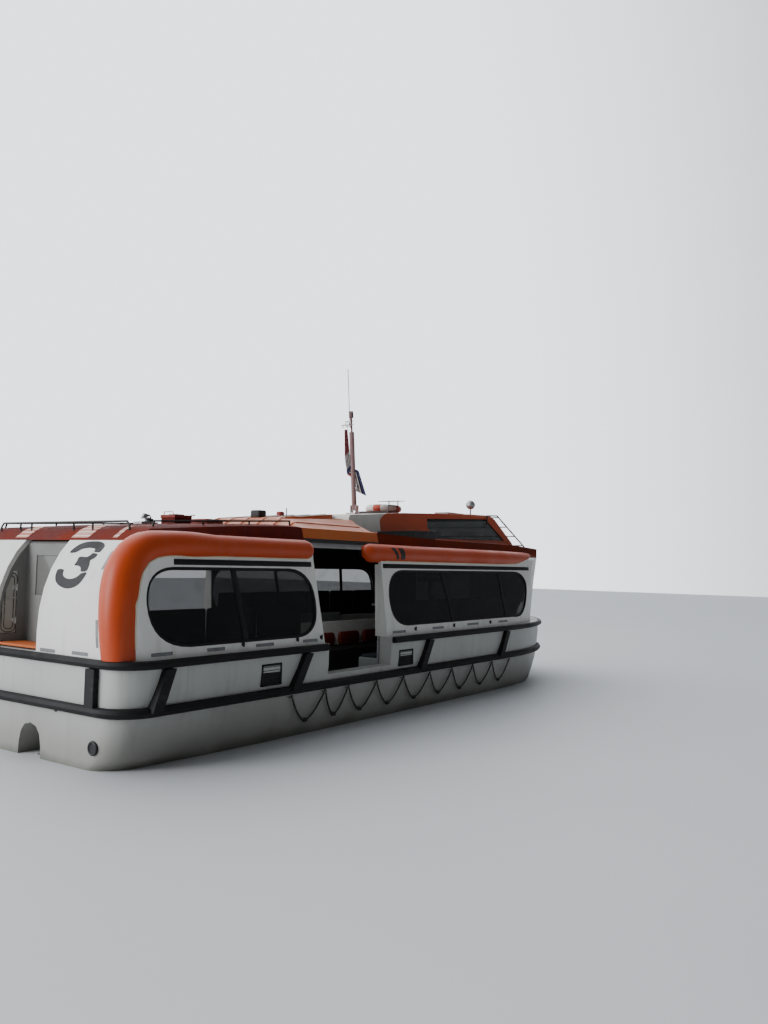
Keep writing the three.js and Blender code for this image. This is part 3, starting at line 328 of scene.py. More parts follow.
def rubber(name):
    """Black fender rubber with chalky scuffs along it."""
    paint = Paint(name)
    scuffs = paint.noise(3, 6, (0.35, 1, 3), 0.7).ramp(0.52, 0.72)
    dust = paint.noise(1.1, 4).ramp(0.4, 0.8)
    face = paint.mix(dust * 0.25, settings().rubber, (0.03, 0.028, 0.026))
    face = paint.mix(scuffs * 0.25, face, (0.075, 0.07, 0.065))
    relief = paint.noise(120, 3) * 0.4 + scuffs
    return paint.coat(face, 0.6 + dust * 0.25, relief, 0.0015, 0.6, Specular_IOR_Level=0.25)


def tinted_glass(name, color=(0.008, 0.009, 0.009), clear=0.36):
    """Smoked window pane with a film of dried spray on it."""
    paint = Paint(name)
    spray = paint.noise(2.5, 6, roughness=0.7).ramp(0.5, 0.85)
    face = paint.mix(spray * 0.15, color, (0.1, 0.105, 0.1))
    alpha = 1 - clear * (1 - spray * 0.3)
    paint.material.surface_render_method = "BLENDED"
    return paint.coat(face, 0.04 + spray * 0.15, Alpha=alpha, IOR=1.45, Specular_IOR_Level=0.3)


def metal(name, color, rough=0.3, tarnish=(0.12, 0.085, 0.055), share_tarnished=0.35, shine=1.0):
    """Bare or plated metal with tarnish in patches and fine scratches."""
    paint = Paint(name)
    patches = paint.noise(6, 6, roughness=0.7).ramp(0.45, 0.72)
    scratches = paint.noise(40, 2, (1, 1, 12)).ramp(0.5, 0.8)
    face = paint.mix(patches * share_tarnished, color, tarnish)
    worn = rough + patches * 0.3 + scratches * 0.08
    bare = shine - patches * share_tarnished
    return paint.coat(face, worn, scratches * 0.3 + patches, 0.0006, Metallic=bare)


def moulded(name, color, rough=0.5, grain=160):
    """Moulded plastic or painted metal inside and on deck: fine grain, dust and rub marks."""
    paint = Paint(name)
    dust = paint.noise(2.4, 5).ramp(0.42, 0.75)
    rubs = paint.noise(11, 5, (1, 2.5, 1), 0.7).ramp(0.6, 0.75)
    face = paint.mix(dust * 0.3, color, shaded(color, 0.6))
    face = paint.mix(rubs * 0.35, face, shaded(color, 1.4))
    relief = paint.noise(grain, 2) + paint.noise(3, 2)
    return paint.coat(face, rough + dust * 0.2, relief, 0.0008, Specular_IOR_Level=0.25)


def twisted_rope(name, color, pitch=0.045):
    """Laid rope: strands that run slantwise round it, with painted shade in the grooves between them, and
    fibre fuzz.
    """
    paint = Paint(name)
    x, y, z = paint.parts(paint.place)
    strands = ((x + y * 0.8 + z * 1.2) * (math.tau / pitch)).sine().ramp(-0.9, 0.6)
    dirt = paint.noise(4, 5).ramp(0.4, 0.7)
    fuzz = paint.noise(400, 2)
    # Painted shade in the grooves between the strands
    face = paint.mix(strands, shaded(color, 0.45), color)
    face = paint.mix(dirt * 0.5, face, shaded(color, 0.4))
    return paint.coat(face, 0.8 + fuzz * 0.15, strands + fuzz * 0.2, 0.0035, 0.8)


def reflective_tape(name):
    """Silver-grey tape with a small cell pattern under its clear face."""
    paint = Paint(name)
    color = settings().tape_grey
    pattern = paint.node("ShaderNodeTexVoronoi", paint.place, feature="DISTANCE_TO_EDGE")
    paint.plug(pattern, "Scale", 260)
    cells = Wire(paint, pattern.outputs["Distance"]).ramp(0.02, 0.09)
    grime = paint.noise(7, 5, roughness=0.7).ramp(0.45, 0.72)
    face = paint.mix(cells, shaded(color, 0.7), color)
    face = paint.mix(grime * 0.5, face, (0.11, 0.105, 0.095))
    return paint.coat(face, 0.28 + grime * 0.3, cells, 0.0004, 0.4, Metallic=0.25 + cells * 0.1)


def banded_ring(name, centre, color, band):
    """White lifebuoy cover with four coloured bands, told apart by their angle round the ring."""
    paint = Paint(name)
    x, y, _ = paint.parts(paint.place)
    angle = paint.math("ARCTAN2", y - centre[1], x - centre[0])
    bands = (angle * 4).cosine().ramp(0.62, 0.66)
    grime = paint.noise(7, 5).ramp(0.42, 0.75)
    weave = paint.noise(220, 2, (1, 1, 3))
    face = paint.mix(bands, color, band)
    face = paint.mix(grime * 0.35, face, (0.25, 0.22, 0.18))
    return paint.coat(face, 0.62 + grime * 0.2, weave + bands * 0.6, 0.0012, 0.6)


def flag_cloth(name):
    """Plain red, white and blue cloth, striped down its hoist and across its hanging end."""
    paint = Paint(name)
    uv = paint.node("ShaderNodeUVMap", uv_map="stripes")
    stripe = paint.parts(Wire(paint, uv.outputs[0]))[0]
    weave = paint.noise(500, 2, (1, 1, 2))
    soot = paint.noise(6, 4).ramp(0.4, 0.8)
    face = paint.mix(stripe > 1 / 3, (0.3, 0.012, 0.02), (0.55, 0.55, 0.54))
    face = paint.mix(stripe > 2 / 3, face, (0.014, 0.024, 0.13))
    face = paint.mix(soot * 0.25, face, (0.12, 0.11, 0.1))
    return paint.coat(face, 0.8 + weave * 0.1, weave, 0.0006, 0.6, Sheen_Weight=0.25)


def lens(name, color):
    """Ribbed lamp glass, unlit, with bands of painted shade along its ribs."""
    paint = Paint(name)
    ribs = paint.noise(30, 1, (1, 1, 8)).ramp(0.4, 0.6)
    # Painted shade: darker bands along the ribs
    face = paint.mix(ribs * 0.4, color, shaded(color, 0.55))
    return paint.coat(face, 0.08 + ribs * 0.12, ribs, 0.001, Coat_Weight=0.6)


def make_materials():
    s = settings()
    return {
        "hull": gelcoat("hull gelcoat", s.hull_white_in_shade, 1.0, 0.36, 0.75),
        "canopy": gelcoat("canopy gelcoat", s.canopy_white, 0.8),
        "roll": gelcoat("orange gelcoat", s.orange, 0.3, 0.36),
        "wheelhouse": two_tone("wheelhouse gelcoat", s.orange, (0.68, 0.7, 0.65), wheelhouse_curve),
        "hood": two_tone("hood gelcoat", s.roof_orange, (0.6, 0.61, 0.55), hood_crown, HOOD_SHADE_HEIGHT),
        # Near-black painted shade for the inside of the cabin
        "painted_shade": moulded("dark lining", s.painted_shade, 0.8),
        "roof": non_slip("roof paint", s.maroon, shaded(s.orange, 0.5)),
        "fwd_roof": non_slip("forward roof paint", shaded(s.orange, 0.22), shaded(s.orange, 0.4)),
        "pad": non_slip("non-slip pad", shaded(s.maroon, 0.7), shaded(s.maroon, 1.5)),
        "tread": non_slip("tread strip", (0.5, 0.16, 0.1), (0.72, 0.55, 0.5), 0.07),
        "rubber": rubber("fender rubber"),
        "glass": tinted_glass("smoked glass"),
        "clear": tinted_glass("wheelhouse glass", (0.02, 0.028, 0.025), 0.3),
        # The recess's back pane is a dull dark grey, as painted shade inside the recess
        "panel_glass": tinted_glass("dull pane", (0.16, 0.16, 0.15), 0.05),
        "steel": metal("galvanised steel", (0.34, 0.345, 0.35), 0.42),
        "stainless": metal("stainless steel", (0.55, 0.55, 0.54), 0.26, share_tarnished=0.2),
        "dark_metal": metal("weathered rail", (0.035, 0.032, 0.03), 0.5, (0.06, 0.035, 0.02), 0.3, 0.5),
        "bronze": metal("propeller bronze", (0.55, 0.36, 0.13), 0.28, (0.06, 0.1, 0.07), 0.4),
        "seat": moulded("seat plastic", (0.34, 0.37, 0.38)),
        "cushion": moulded("seat vinyl", (0.03, 0.035, 0.042), 0.55, 320),
        "grey": moulded("grey panel", (0.36, 0.37, 0.37)),
        # The recess walls and its door are set dark and mid grey, as painted shade inside the stern recess
        "recess": moulded("recess gelcoat", (0.2, 0.2, 0.19), 0.55),
        "door": moulded("door gelcoat", (0.4, 0.39, 0.35)),
        "floor": moulded("orange sill", (0.5, 0.12, 0.03), 0.6),
        "chair": moulded("chair plastic", (0.17, 0.028, 0.02), 0.45),
        "white": moulded("white fitting", (0.72, 0.72, 0.7), 0.4),
        "mast": moulded("mast paint", (0.24, 0.15, 0.145), 0.45),
        "engine": moulded("engine casing", (0.07, 0.16, 0.13), 0.45),
        "black": moulded("black fitting", (0.02, 0.02, 0.022), 0.45),
        "board": moulded("bare board", (0.02, 0.022, 0.02), 0.6),
        "red": moulded("dark red fitting", (0.22, 0.03, 0.02)),
        "marking": moulded("number paint", s.marking, 0.55),
        "trim": moulded("cream trim", (0.62, 0.58, 0.43)),
        "tape": reflective_tape("reflective tape"),
        "rope": twisted_rope("lifeline rope", (0.055, 0.05, 0.045)),
        "line": twisted_rope("pale line", (0.55, 0.54, 0.5), 0.02),
        "ring": banded_ring("lifebuoy cover", (1.45, -0.074), (0.7, 0.69, 0.66), (0.5, 0.06, 0.03)),
        "flag": flag_cloth("flag cloth"),
        "lamp": lens("lamp glass", (0.75, 0.76, 0.74)),
    }


MATERIALS = {}


# Selecting, shaping and finishing pieces


def deselect():
    bpy.ops.object.select_all(action="DESELECT")


def activate(obj):
    deselect()
    obj.select_set(True)
    bpy.context.view_layer.objects.active = obj


def start_edit(obj, kind="VERT", action="SELECT"):
    activate(obj)
    bpy.ops.object.mode_set(mode="EDIT")
    bpy.ops.mesh.select_mode(type=kind)
    bpy.ops.mesh.select_all(action=action)


def end_edit():
    bpy.ops.object.mode_set(mode="OBJECT")


def pick_faces(obj, test):
    """Starts edit mode with just the faces selected whose normal passes the test."""
    start_edit(obj, "FACE", "DESELECT")
    end_edit()
    for face in obj.data.polygons:
        face.select = bool(test(face.normal))
    bpy.ops.object.mode_set(mode="EDIT")


def pick_edges_along(obj, axis):
    """Starts edit mode with just the edges selected that run along one axis."""
    start_edit(obj, "EDGE", "DESELECT")
    end_edit()
    for edge in obj.data.edges:
        first, second = (obj.data.vertices[index].co for index in edge.vertices)
        edge.select = abs((second - first).normalized()[axis]) > 0.99
    bpy.ops.object.mode_set(mode="EDIT")


def apply_modifier(obj, kind, **options):
    activate(obj)
    modifier = obj.modifiers.new(kind.title(), kind)
    for option, value in options.items():
        setattr(modifier, option, value)
    bpy.ops.object.modifier_apply(modifier=modifier.name)


def merge(obj, distance=0.0001):
    start_edit(obj)
    bpy.ops.mesh.remove_doubles(threshold=distance)
    bpy.ops.mesh.normals_make_consistent(inside=False)
    end_edit()


def bevel(width, segments):
    bpy.ops.mesh.bevel(offset=width, segments=segments, affect="EDGES", clamp_overlap=True)


def round_sharp(obj, width, degrees=30):
    """Rounds the edges that turn by more than some degrees."""
    start_edit(obj, "EDGE", "DESELECT")
    bpy.ops.mesh.edges_select_sharp(sharpness=math.radians(degrees))
    bevel(width, 2)
    end_edit()
    return obj


def divide(obj, times):
    """Cuts a flat shape into triangles and divides them finely, to follow a curved surface."""
    start_edit(obj)
    bpy.ops.mesh.quads_convert_to_tris(ngon_method="BEAUTY")
    for _ in range(times):
        bpy.ops.mesh.subdivide(number_cuts=1)
    end_edit()


def done(obj, material, body="boat", degrees=40):
    """Gives a finished piece its material, shading and body."""
    obj.data.materials.clear()
    obj.data.materials.append(MATERIALS[material])
    activate(obj)
    bpy.ops.object.shade_smooth_by_angle(angle=math.radians(degrees))
    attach(obj, body)
    return obj


def joined(name, pieces):
    """Several like solids as one piece."""
    deselect()
    for piece in pieces:
        piece.select_set(True)
    bpy.context.view_layer.objects.active = pieces[0]
    if len(pieces) > 1:
        bpy.ops.object.join()
    pieces[0].name = name
    return pieces[0]


def clone(obj):
    """A copy with its own mesh, free of the frame's tags."""
    twin = obj.copy()
    twin.data = obj.data.copy()
    twin.parent = None
    for key in [key for key in twin.keys() if key.startswith("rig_")]:
        del twin[key]
    bpy.context.scene.collection.objects.link(twin)
    return twin


def moved(obj, step):
    """A copy of a piece, moved by a step."""
    twin = clone(obj)
    twin.data.transform(Matrix.Translation(step))
    return twin


def mirrored(obj):
    """A copy of a piece on the other side of the boat."""
    twin = clone(obj)
    twin.data.transform(Matrix.Scale(-1, 4, Y))
    twin.data.flip_normals()
    return twin


def both_sides(name, pieces):
    """Starboard pieces joined with their mirror images."""
    piece = joined(name, pieces)
    return joined(name, [piece, mirrored(piece)])


def block(low, high, edge=0.004, segments=2):
    """A cube brought to its size and place, with its edges rounded."""
    low, high = Vector(low), Vector(high)
    deselect()
    bpy.ops.mesh.primitive_cube_add(size=1, location=(low + high) / 2)
    obj = bpy.context.object
    obj.scale = high - low
    bpy.ops.object.transform_apply(location=True, rotation=True, scale=True)
    start_edit(obj, "EDGE")
    bevel(edge, segments)
    end_edit()
    return obj


def plate(low, high, axis, corner, edge=0.002):
    """A flat block whose four corners along one axis are rounded more than its rims."""
    obj = block(low, high, 0.0001, 1)
    merge(obj, 0.0005)
    pick_edges_along(obj, axis)
    bevel(corner, 5)
    end_edit()
    return round_sharp(obj, edge, 50)


def drum(centre, axis, radius, length, edge=0.003, sides=24):
    """A cylinder along any axis with rounded rims and a step let into its far end."""
    deselect()
    bpy.ops.mesh.primitive_cylinder_add(vertices=sides, radius=radius, depth=length)
    obj = bpy.context.object
    pick_faces(obj, lambda normal: normal.z > 0.9)
    bpy.ops.mesh.inset(thickness=radius * 0.35)
    bpy.ops.transform.translate(value=(0, 0, -min(edge, length * 0.2)))
    end_edit()
    round_sharp(obj, edge, 50)
    turn = Z.rotation_difference(Vector(axis)).to_matrix().to_4x4()
    obj.data.transform(Matrix.Translation(centre) @ turn)
    return obj


def bent(points, radius, steps=4):
    """A path whose inner corners are rounded."""
    points = [Vector(point) for point in points]
    path = [points[0]]
    for before, corner, after in zip(points, points[1:], points[2:]):
        reach = min(radius, (before - corner).length * 0.45, (after - corner).length * 0.45)
        start = corner + (before - corner).normalized() * reach
        end = corner + (after - corner).normalized() * reach
        for step in range(steps + 1):
            t = step / steps
            path.append(start * (1 - t) ** 2 + corner * 2 * t * (1 - t) + end * t**2)
    path.append(points[-1])
    return path


def rod(points, radius, closed=False, roundness=2):
    """A round bar along a path, with closed ends."""
    curve = bpy.data.curves.new("rod", "CURVE")
    curve.dimensions = "3D"
    curve.bevel_depth = radius
    curve.bevel_resolution = roundness
    curve.use_fill_caps = True
    spline = curve.splines.new("POLY")
    spline.points.add(len(points) - 1)
    spline.use_cyclic_u = closed
    for target, point in zip(spline.points, points):
        target.co = (*point, 1)
    obj = bpy.data.objects.new("rod", curve)
    bpy.context.scene.collection.objects.link(obj)
    activate(obj)
    bpy.ops.object.convert(target="MESH")
    obj = bpy.context.object
    merge(obj, radius * 0.02)
    return obj


def hoop(centre, across, up, radius, thick, count=14, roundness=1):
    """A closed ring of round bar in the plane of two directions."""
    angles = [math.tau * i / count for i in range(count)]
    points = [centre + (across * math.cos(a) + up * math.sin(a)) * radius for a in angles]
    return rod(points, thick, True, roundness)


def drape(columns, rows, place):
    """A grid whose points are set by a formula of two shares from 0 to 1."""
    deselect()
    bpy.ops.mesh.primitive_grid_add(x_subdivisions=columns, y_subdivisions=rows, size=1)
    obj = bpy.context.object
    for vertex in obj.data.vertices:
        vertex.co = place(vertex.co.x + 0.5, vertex.co.y + 0.5)
    return obj


def laid_on(obj, node, toward, thickness=0.003):
    """Presses a sheet onto a part along one of the six main directions, then gives it thickness."""
    axis = max(range(3), key=lambda index: abs(toward[index]))
    start = [vertex.co[axis] for vertex in obj.data.vertices]
    directions = {f"use_project_{letter}": index == axis for index, letter in enumerate("xyz")}
    directions["use_positive_direction"] = toward[axis] > 0
    directions["use_negative_direction"] = toward[axis] < 0
    apply_modifier(obj, "SHRINKWRAP", target=PAINTED[node], wrap_method="PROJECT", **directions)
    missed = [v for v, before in zip(obj.data.vertices, start) if abs(v.co[axis] - before) < 1e-6]
    if missed:
        raise RuntimeError(f"{obj.name}: {len(missed)} points miss {node}, such as {missed[0].co}")
    if sum(face.normal.dot(toward) for face in obj.data.polygons) > 0:
        obj.data.flip_normals()
    apply_modifier(obj, "SOLIDIFY", thickness=thickness * 2, offset=0)
    return obj


# Distance from the boat's origin at which sheets start, before they are pressed onto the boat
OUTSIDE = 8


def patch(node, toward, corners, columns, rows, thickness=0.003):
    """A four-cornered strip pressed onto a part; its corners leave the direction of pressing out."""
    axis = max(range(3), key=lambda index: abs(toward[index]))
    starts = [[*corner[:axis], -OUTSIDE * toward[axis], *corner[axis:]] for corner in corners]
    a, b, c, d = (Vector(start) for start in starts)

    def place(across, along):
        return (a * (1 - across) + b * across) * (1 - along) + (d * (1 - across) + c * across) * along

    return laid_on(drape(columns, rows, place), node, toward, thickness)


def leaning(foot, head, foot_edges, head_edges):
    """Corners of a strip that stands between two heights, from its two edges at the foot and at the head."""
    return [(foot_edges[0], foot), (foot_edges[1], foot), (head_edges[1], head), (head_edges[0], head)]


def straight(first, last, foot, head):
    return leaning(foot, head, (first, last), (first, last))


# The moulded and metal parts of the frame, each as a merged and rounded copy


PAINTED = {}
ROUNDED_TURN = math.radians(35)


def painted(node, material, slot, edge=None):
    """A copy of a part whose loose triangles are merged and whose edges are rounded."""
    source = frame["nodes"][node]
    obj = clone(source)
    obj.name = f"{node}_painted"
    merge(obj)
    start_edit(obj)
    bpy.ops.mesh.dissolve_limited(angle_limit=math.radians(0.4))
    end_edit()
    width = settings().edge if edge is None else edge
    if width:
        apply_modifier(obj, "BEVEL", width=width, segments=2, limit_method="ANGLE", angle_limit=ROUNDED_TURN)
    done(obj, material, source["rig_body"], 45)
    apply_modifier(obj, "WEIGHTED_NORMAL", keep_sharp=True)
    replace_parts(obj, node)
    PAINTED[node] = obj


# Part, with a star for both sides, material, slot and rounding in metres, where None takes the setting
SHELL_PARTS = [
    ("hull", "hull", "hull", None),
    ("canopy_bow", "canopy", "white", None),
    ("canopy_stern_*", "canopy", "white", 0.005),
    ("stern_recess", "recess", "grey", 0.005),
    ("stern_door", "door", "white", 0.004),
    ("canopy_side_aft_*", "canopy", "white", 0.006),
    ("canopy_side_fwd_*", "canopy", "white", 0.006),
    ("roll_aft_*", "roll", "orange", None),
    ("roll_fwd_*", "roll", "orange", None),
    ("roof_aft", "roof", "maroon", None),
    ("roof_mid", "hood", "orange", None),
    ("roof_fwd", "fwd_roof", "maroon", None),
    ("wheelhouse", "wheelhouse", "orange", None),
]

FITTED_PARTS = [
    ("fender_upper_aft", "rubber", "rubber", 0.006),
    ("fender_upper_fwd", "rubber", "rubber", 0.006),
    ("fender_lower_aft", "rubber", "rubber", 0.006),
    ("fender_lower_fwd", "rubber", "rubber", 0.006),
    ("hook_aft", "steel", "steel", 0.004),
    ("hook_fwd", "steel", "steel", 0.004),
    ("searchlight_post", "steel", "white", 0.003),
    ("searchlight", "steel", "black", 0.003),
    ("mast_step", "white", "white", 0.004),
    ("mast", "mast", "white", 0),
    ("rail_stern", "dark_metal", "steel", 0),
    ("rail_roof_*", "dark_metal", "steel", 0),
    ("guard_rail", "dark_metal", "steel", 0),
    ("roof_rack", "dark_metal", "steel", 0.002),
    ("rudder_*", "stainless", "rudder", 0.004),
    ("propeller_*", "bronze", "bronze", 0.002),
    ("hatch_lid", "red", "maroon", 0.008),
    ("steering_wheel", "black", "black", 0),
    ("ring_buoy", "ring", "white", 0),
]

CABIN_PARTS = [
    ("bench_aft_*", "seat", "seat", 0.012),
    ("bench_fwd_*", "seat", "seat", 0.012),
    ("bench_mid", "white", "seat", 0.012),
    ("helm_seat", "cushion", "seat", 0.012),
    ("helm", "grey", "grey", 0.01),
    ("engine_*", "engine", "engine", 0.015),
]

GLASS_PARTS = [
    ("glass_aft_*", "glass", "glass", 0),
    ("glass_fwd_*", "glass", "glass", 0),
    ("glass_recess", "panel_glass", "glass", 0),
    ("glass_wheelhouse_*", "clear", "glass", 0),
    ("glass_windscreen", "clear", "glass", 0),
]


def named(part):
    """The names of a part, one for each side where a star stands for the side."""
    return [part.replace("*", side) for side in SIDES] if "*" in part else [part]


def paint_parts(table):
    for part, *finish in table:
        for node in named(part):
            painted(node, *finish)


def repaint(node, material, test):
    """Gives a second paint to the faces of a part whose centre and normal pass the test."""
    obj = PAINTED[node]
    obj.data.materials.append(MATERIALS[material])
    for face in obj.data.polygons:
        if test(face.center, face.normal):
            face.material_index = 1


# Parts whose inner faces get near-black painted shade, with the height of the line that these faces look
# towards
SHADED_INSIDE_PARTS = {
    "canopy_bow": 1.8,
    "canopy_side_aft_*": 1.8,
    "canopy_side_fwd_*": 1.8,
    "roll_aft_*": 1.8,
    "roll_fwd_*": 1.8,
    "roof_aft": 1.8,
    "roof_mid": 1.8,
    "roof_fwd": 1.8,
    "wheelhouse": 2.7,
}
CABIN_AFT, CABIN_FWD = -5.2, 4.0


def shade_inside():
    """Paints near-black painted shade on the faces that look towards the middle of the cabin."""
    for part, height in SHADED_INSIDE_PARTS.items():

        def faces_in(centre, normal):
            nearest = Vector((min(max(centre.x, CABIN_AFT), CABIN_FWD), 0, height))
            return normal.dot((nearest - centre).normalized()) > 0.25

        for node in named(part):
            repaint(node, "painted_shade", faces_in)


def window_seal(node, outward, radius):
    """A rubber bead along the outer rim of a pane."""
    pane = clone(PAINTED[node])
    pick_faces(pane, lambda normal: normal.dot(outward) > 0.7)
    bpy.ops.mesh.region_to_loop()
    bpy.ops.mesh.duplicate()
    bpy.ops.mesh.separate(type="SELECTED")
    end_edit()
    rim = next(obj for obj in bpy.context.selected_objects if obj != pane)
    bpy.data.objects.remove(pane)
    activate(rim)
    bpy.ops.object.convert(target="CURVE")
    rim = bpy.context.object
    rim.data.bevel_depth = radius
    rim.data.bevel_resolution = 2
    bpy.ops.object.convert(target="MESH")
    rim = bpy.context.object
    rim.name = f"seal_{node}"
    merge(rim, 0.0005)
    done(rim, "rubber")


# Share of the full seal that the wheelhouse's windows have
SMALL_SEAL = 0.5


def window_seals():
    full = settings().seal
    small = full * SMALL_SEAL
    for side, sign in SIDES.items():
        for group, radius in (("aft", full), ("fwd", full), ("wheelhouse", small)):
            window_seal(f"glass_{group}_{side}", Y * sign, radius)
    window_seal("glass_windscreen", (X + Z) * 0.6, small)


# Pane, height of the foot and head, X at the foot and at the head
DIVIDERS = [
    ("glass_aft_stbd", 1.386, 2.286, -4.539, -4.726),
    ("glass_fwd_stbd", 1.425, 2.286, 0.75, 0.45),
    ("glass_fwd_stbd", 1.425, 2.286, 2.84, 2.64),
]
DIVIDER_HALF = 0.045


def window_dividers():
    """Black bars that lean aft across the side windows."""
    bars = []
    for node, low, high, foot, head in DIVIDERS:
        edges = [(x - DIVIDER_HALF, x + DIVIDER_HALF) for x in (foot, head)]
        bars.append(patch(node, Y, leaning(low, high, *edges), 3, 16, 0.008))
    done(round_sharp(both_sides("window_dividers", bars), 0.003), "rubber")


# Near-black panels inside the lower part of the side windows, as painted shade of the cabin: first and last X
SHADE_PANEL_RUNS = [(-6.0, -3.25), (-1.2, 3.85)]
SHADE_PANEL_PITCH, SHADE_PANEL_Y, SHADE_PANEL_LOW, SHADE_PANEL_HIGH = 0.8, -1.9, 1.3, 1.8


def cabin_shade_panels():
    """Near-black panels along the cabin's walls, as high as seated shoulders, standing for the shade inside
    the lower windows.
    """
    panels = []
    for aft, fwd in SHADE_PANEL_RUNS:
        count = round((fwd - aft) / SHADE_PANEL_PITCH)
        step = (fwd - aft) / count
        for i in range(count):
            x = aft + step * i
            low, high = (x + 0.008, SHADE_PANEL_Y - 0.015, SHADE_PANEL_LOW), (x + step - 0.008, SHADE_PANEL_Y, SHADE_PANEL_HIGH)
            panels.append(plate(low, high, 1, 0.04, 0.003))
    done(both_sides("cabin_shade_panels", panels), "painted_shade")


# Stage: floor at the waterline, soft lights and the camera


CAMERA_RIGHT = Vector((0.573597, -0.818843, 0.021952))
CAMERA_DOWN = Vector((0.063413, 0.017670, -0.997831))
CAMERA_FORWARD = Vector((0.816679, 0.573745, 0.062060))
CAMERA_PLACE = Vector((-12.60133, -9.88589, 2.39318))
FOCAL_PIXELS = 850
PICTURE_HEIGHT = 1024
# Strength of the sky to starboard and to port, and the share to port where it starts and ends to grow
SKY_DIM, SKY_BRIGHT = 0.22, 2.5
SKY_FROM, SKY_TO = -0.2, 0.5
# Light's name, place, aim, width in metres and watts
LIGHTS = [
    ("key light", (-24, 7, 8), (-4, 0, 1.5), 9, 3000),
    ("top light", (2, 8, 20), (0, 0, 0), 16, 1100),
    ("cabin light", (-2.2, -0.9, 2.5), (-0.9, 0.3, 1.2), 0.7, 12),
]


def placed(name, data, matrix):
    obj = bpy.data.objects.new(name, data)
    bpy.context.scene.collection.objects.link(obj)
    obj.matrix_world = matrix
    return obj


def make_camera():
    camera = bpy.data.cameras.new("camera")
    camera.sensor_width = 36
    camera.lens = camera.sensor_width * FOCAL_PIXELS / PICTURE_HEIGHT
    camera.clip_end = 500
    turn = Matrix((CAMERA_RIGHT, -CAMERA_DOWN, -CAMERA_FORWARD)).transposed().to_4x4()
    bpy.context.scene.camera = placed("camera", camera, Matrix.Translation(CAMERA_PLACE) @ turn)


def make_floor():
    deselect()
    bpy.ops.mesh.primitive_plane_add(size=160)
    floor = bpy.context.object
    floor.name = "floor"
    paint = Paint("pale floor")
    cloud = paint.noise(0.25, 3)
    face = paint.mix(cloud, (0.5, 0.51, 0.52), (0.55, 0.56, 0.57))
    floor.data.materials.append(paint.coat(face, 0.6 + cloud * 0.1))


def make_sky():
    """A pale sky that is bright to port and dim to starboard."""
    world = bpy.data.worlds.new("soft sky")
    world.use_nodes = True
    tree = world.node_tree
    sky = tree.nodes["Background"]
    sky.inputs[0].default_value = (0.9, 0.94, 1, 1)
    heading = tree.nodes.new("ShaderNodeTexCoord")
    parts = tree.nodes.new("ShaderNodeSeparateXYZ")
    light = tree.nodes.new("ShaderNodeMapRange")
    light.interpolation_type = "SMOOTHSTEP"
    for socket, value in zip(light.inputs[1:5], (SKY_FROM, SKY_TO, SKY_DIM, SKY_BRIGHT)):
        socket.default_value = value
    tree.links.new(heading.outputs["Generated"], parts.inputs[0])
    tree.links.new(parts.outputs["Y"], light.inputs[0])
    tree.links.new(light.outputs[0], sky.inputs[1])
    bpy.context.scene.world = world


def make_lights():
    for name, place, aim, size, watts in LIGHTS:
        light = bpy.data.lights.new(name, "AREA")
        light.size = size
        light.energy = watts
        turn = (Vector(aim) - Vector(place)).to_track_quat("-Z", "Y").to_matrix().to_4x4()
        obj = placed(name, light, Matrix.Translation(place) @ turn)
        obj.visible_camera = False


# Places on the boat's surface


def cast(node, start, toward):
    """Where a straight line from a place first meets a painted part."""
    hit, place, *_ = PAINTED[node].ray_cast(Vector(start), toward)
    if not hit:
        raise RuntimeError(f"no point of {node} ahead of {tuple(start)}")
    return place


def side_skin(node, x, z):
    return cast(node, (x, -OUTSIDE, z), Y)


def top_skin(node, x, y):
    return cast(node, (x, y, OUTSIDE), -Z)


# Reflective tapes


# Starboard wall, from the aft end: first and last X, height
SIDE_TAPES = [
    ("canopy_side_aft_stbd", -6.10, -5.78, 1.283),
    ("canopy_side_aft_stbd", -5.24, -4.94, 1.283),
    ("canopy_side_aft_stbd", -4.38, -4.04, 1.283),
    ("canopy_side_aft_stbd", -3.44, -3.12, 1.283),
    ("canopy_side_fwd_stbd", -1.22, -0.84, 1.29),
    ("canopy_side_fwd_stbd", 0.0, 0.37, 1.30),
    ("canopy_side_fwd_stbd", 1.22, 1.64, 1.31),
    ("canopy_side_fwd_stbd", 2.46, 2.84, 1.31),
]
# Along the stern's foot: panel, first and last Y, height
STERN_TAPES = [
    ("canopy_stern_stbd", -0.83, -0.53, 1.258),
    ("canopy_stern_stbd", -1.465, -1.163, 1.268),
    ("canopy_stern_port", 0.70, 1.00, 1.265),
]
# Corners, Y and Z, of the two tapes beside the starboard roll
CORNER_TAPES = [
    [(-1.652, 1.376), (-1.612, 1.376), (-1.560, 1.69), (-1.602, 1.69)],
    [(-1.458, 2.264), (-1.415, 2.272), (-1.445, 2.487), (-1.492, 2.477)],
]


def tapes():
    width = settings().tape_width
    side = [patch(node, Y, straight(*ends, low, low + width), 12, 2) for node, *ends, low in SIDE_TAPES]
    done(both_sides("side_tapes", side), "tape")
    stern = [patch(node, X, straight(*ends, low, low + width), 8, 2) for node, *ends, low in STERN_TAPES]
    stern += [patch("canopy_stern_stbd", X, corners, 2, 8) for corners in CORNER_TAPES]
    done(joined("stern_tapes", stern), "tape")


# Stern: boat number, door fittings, outlets


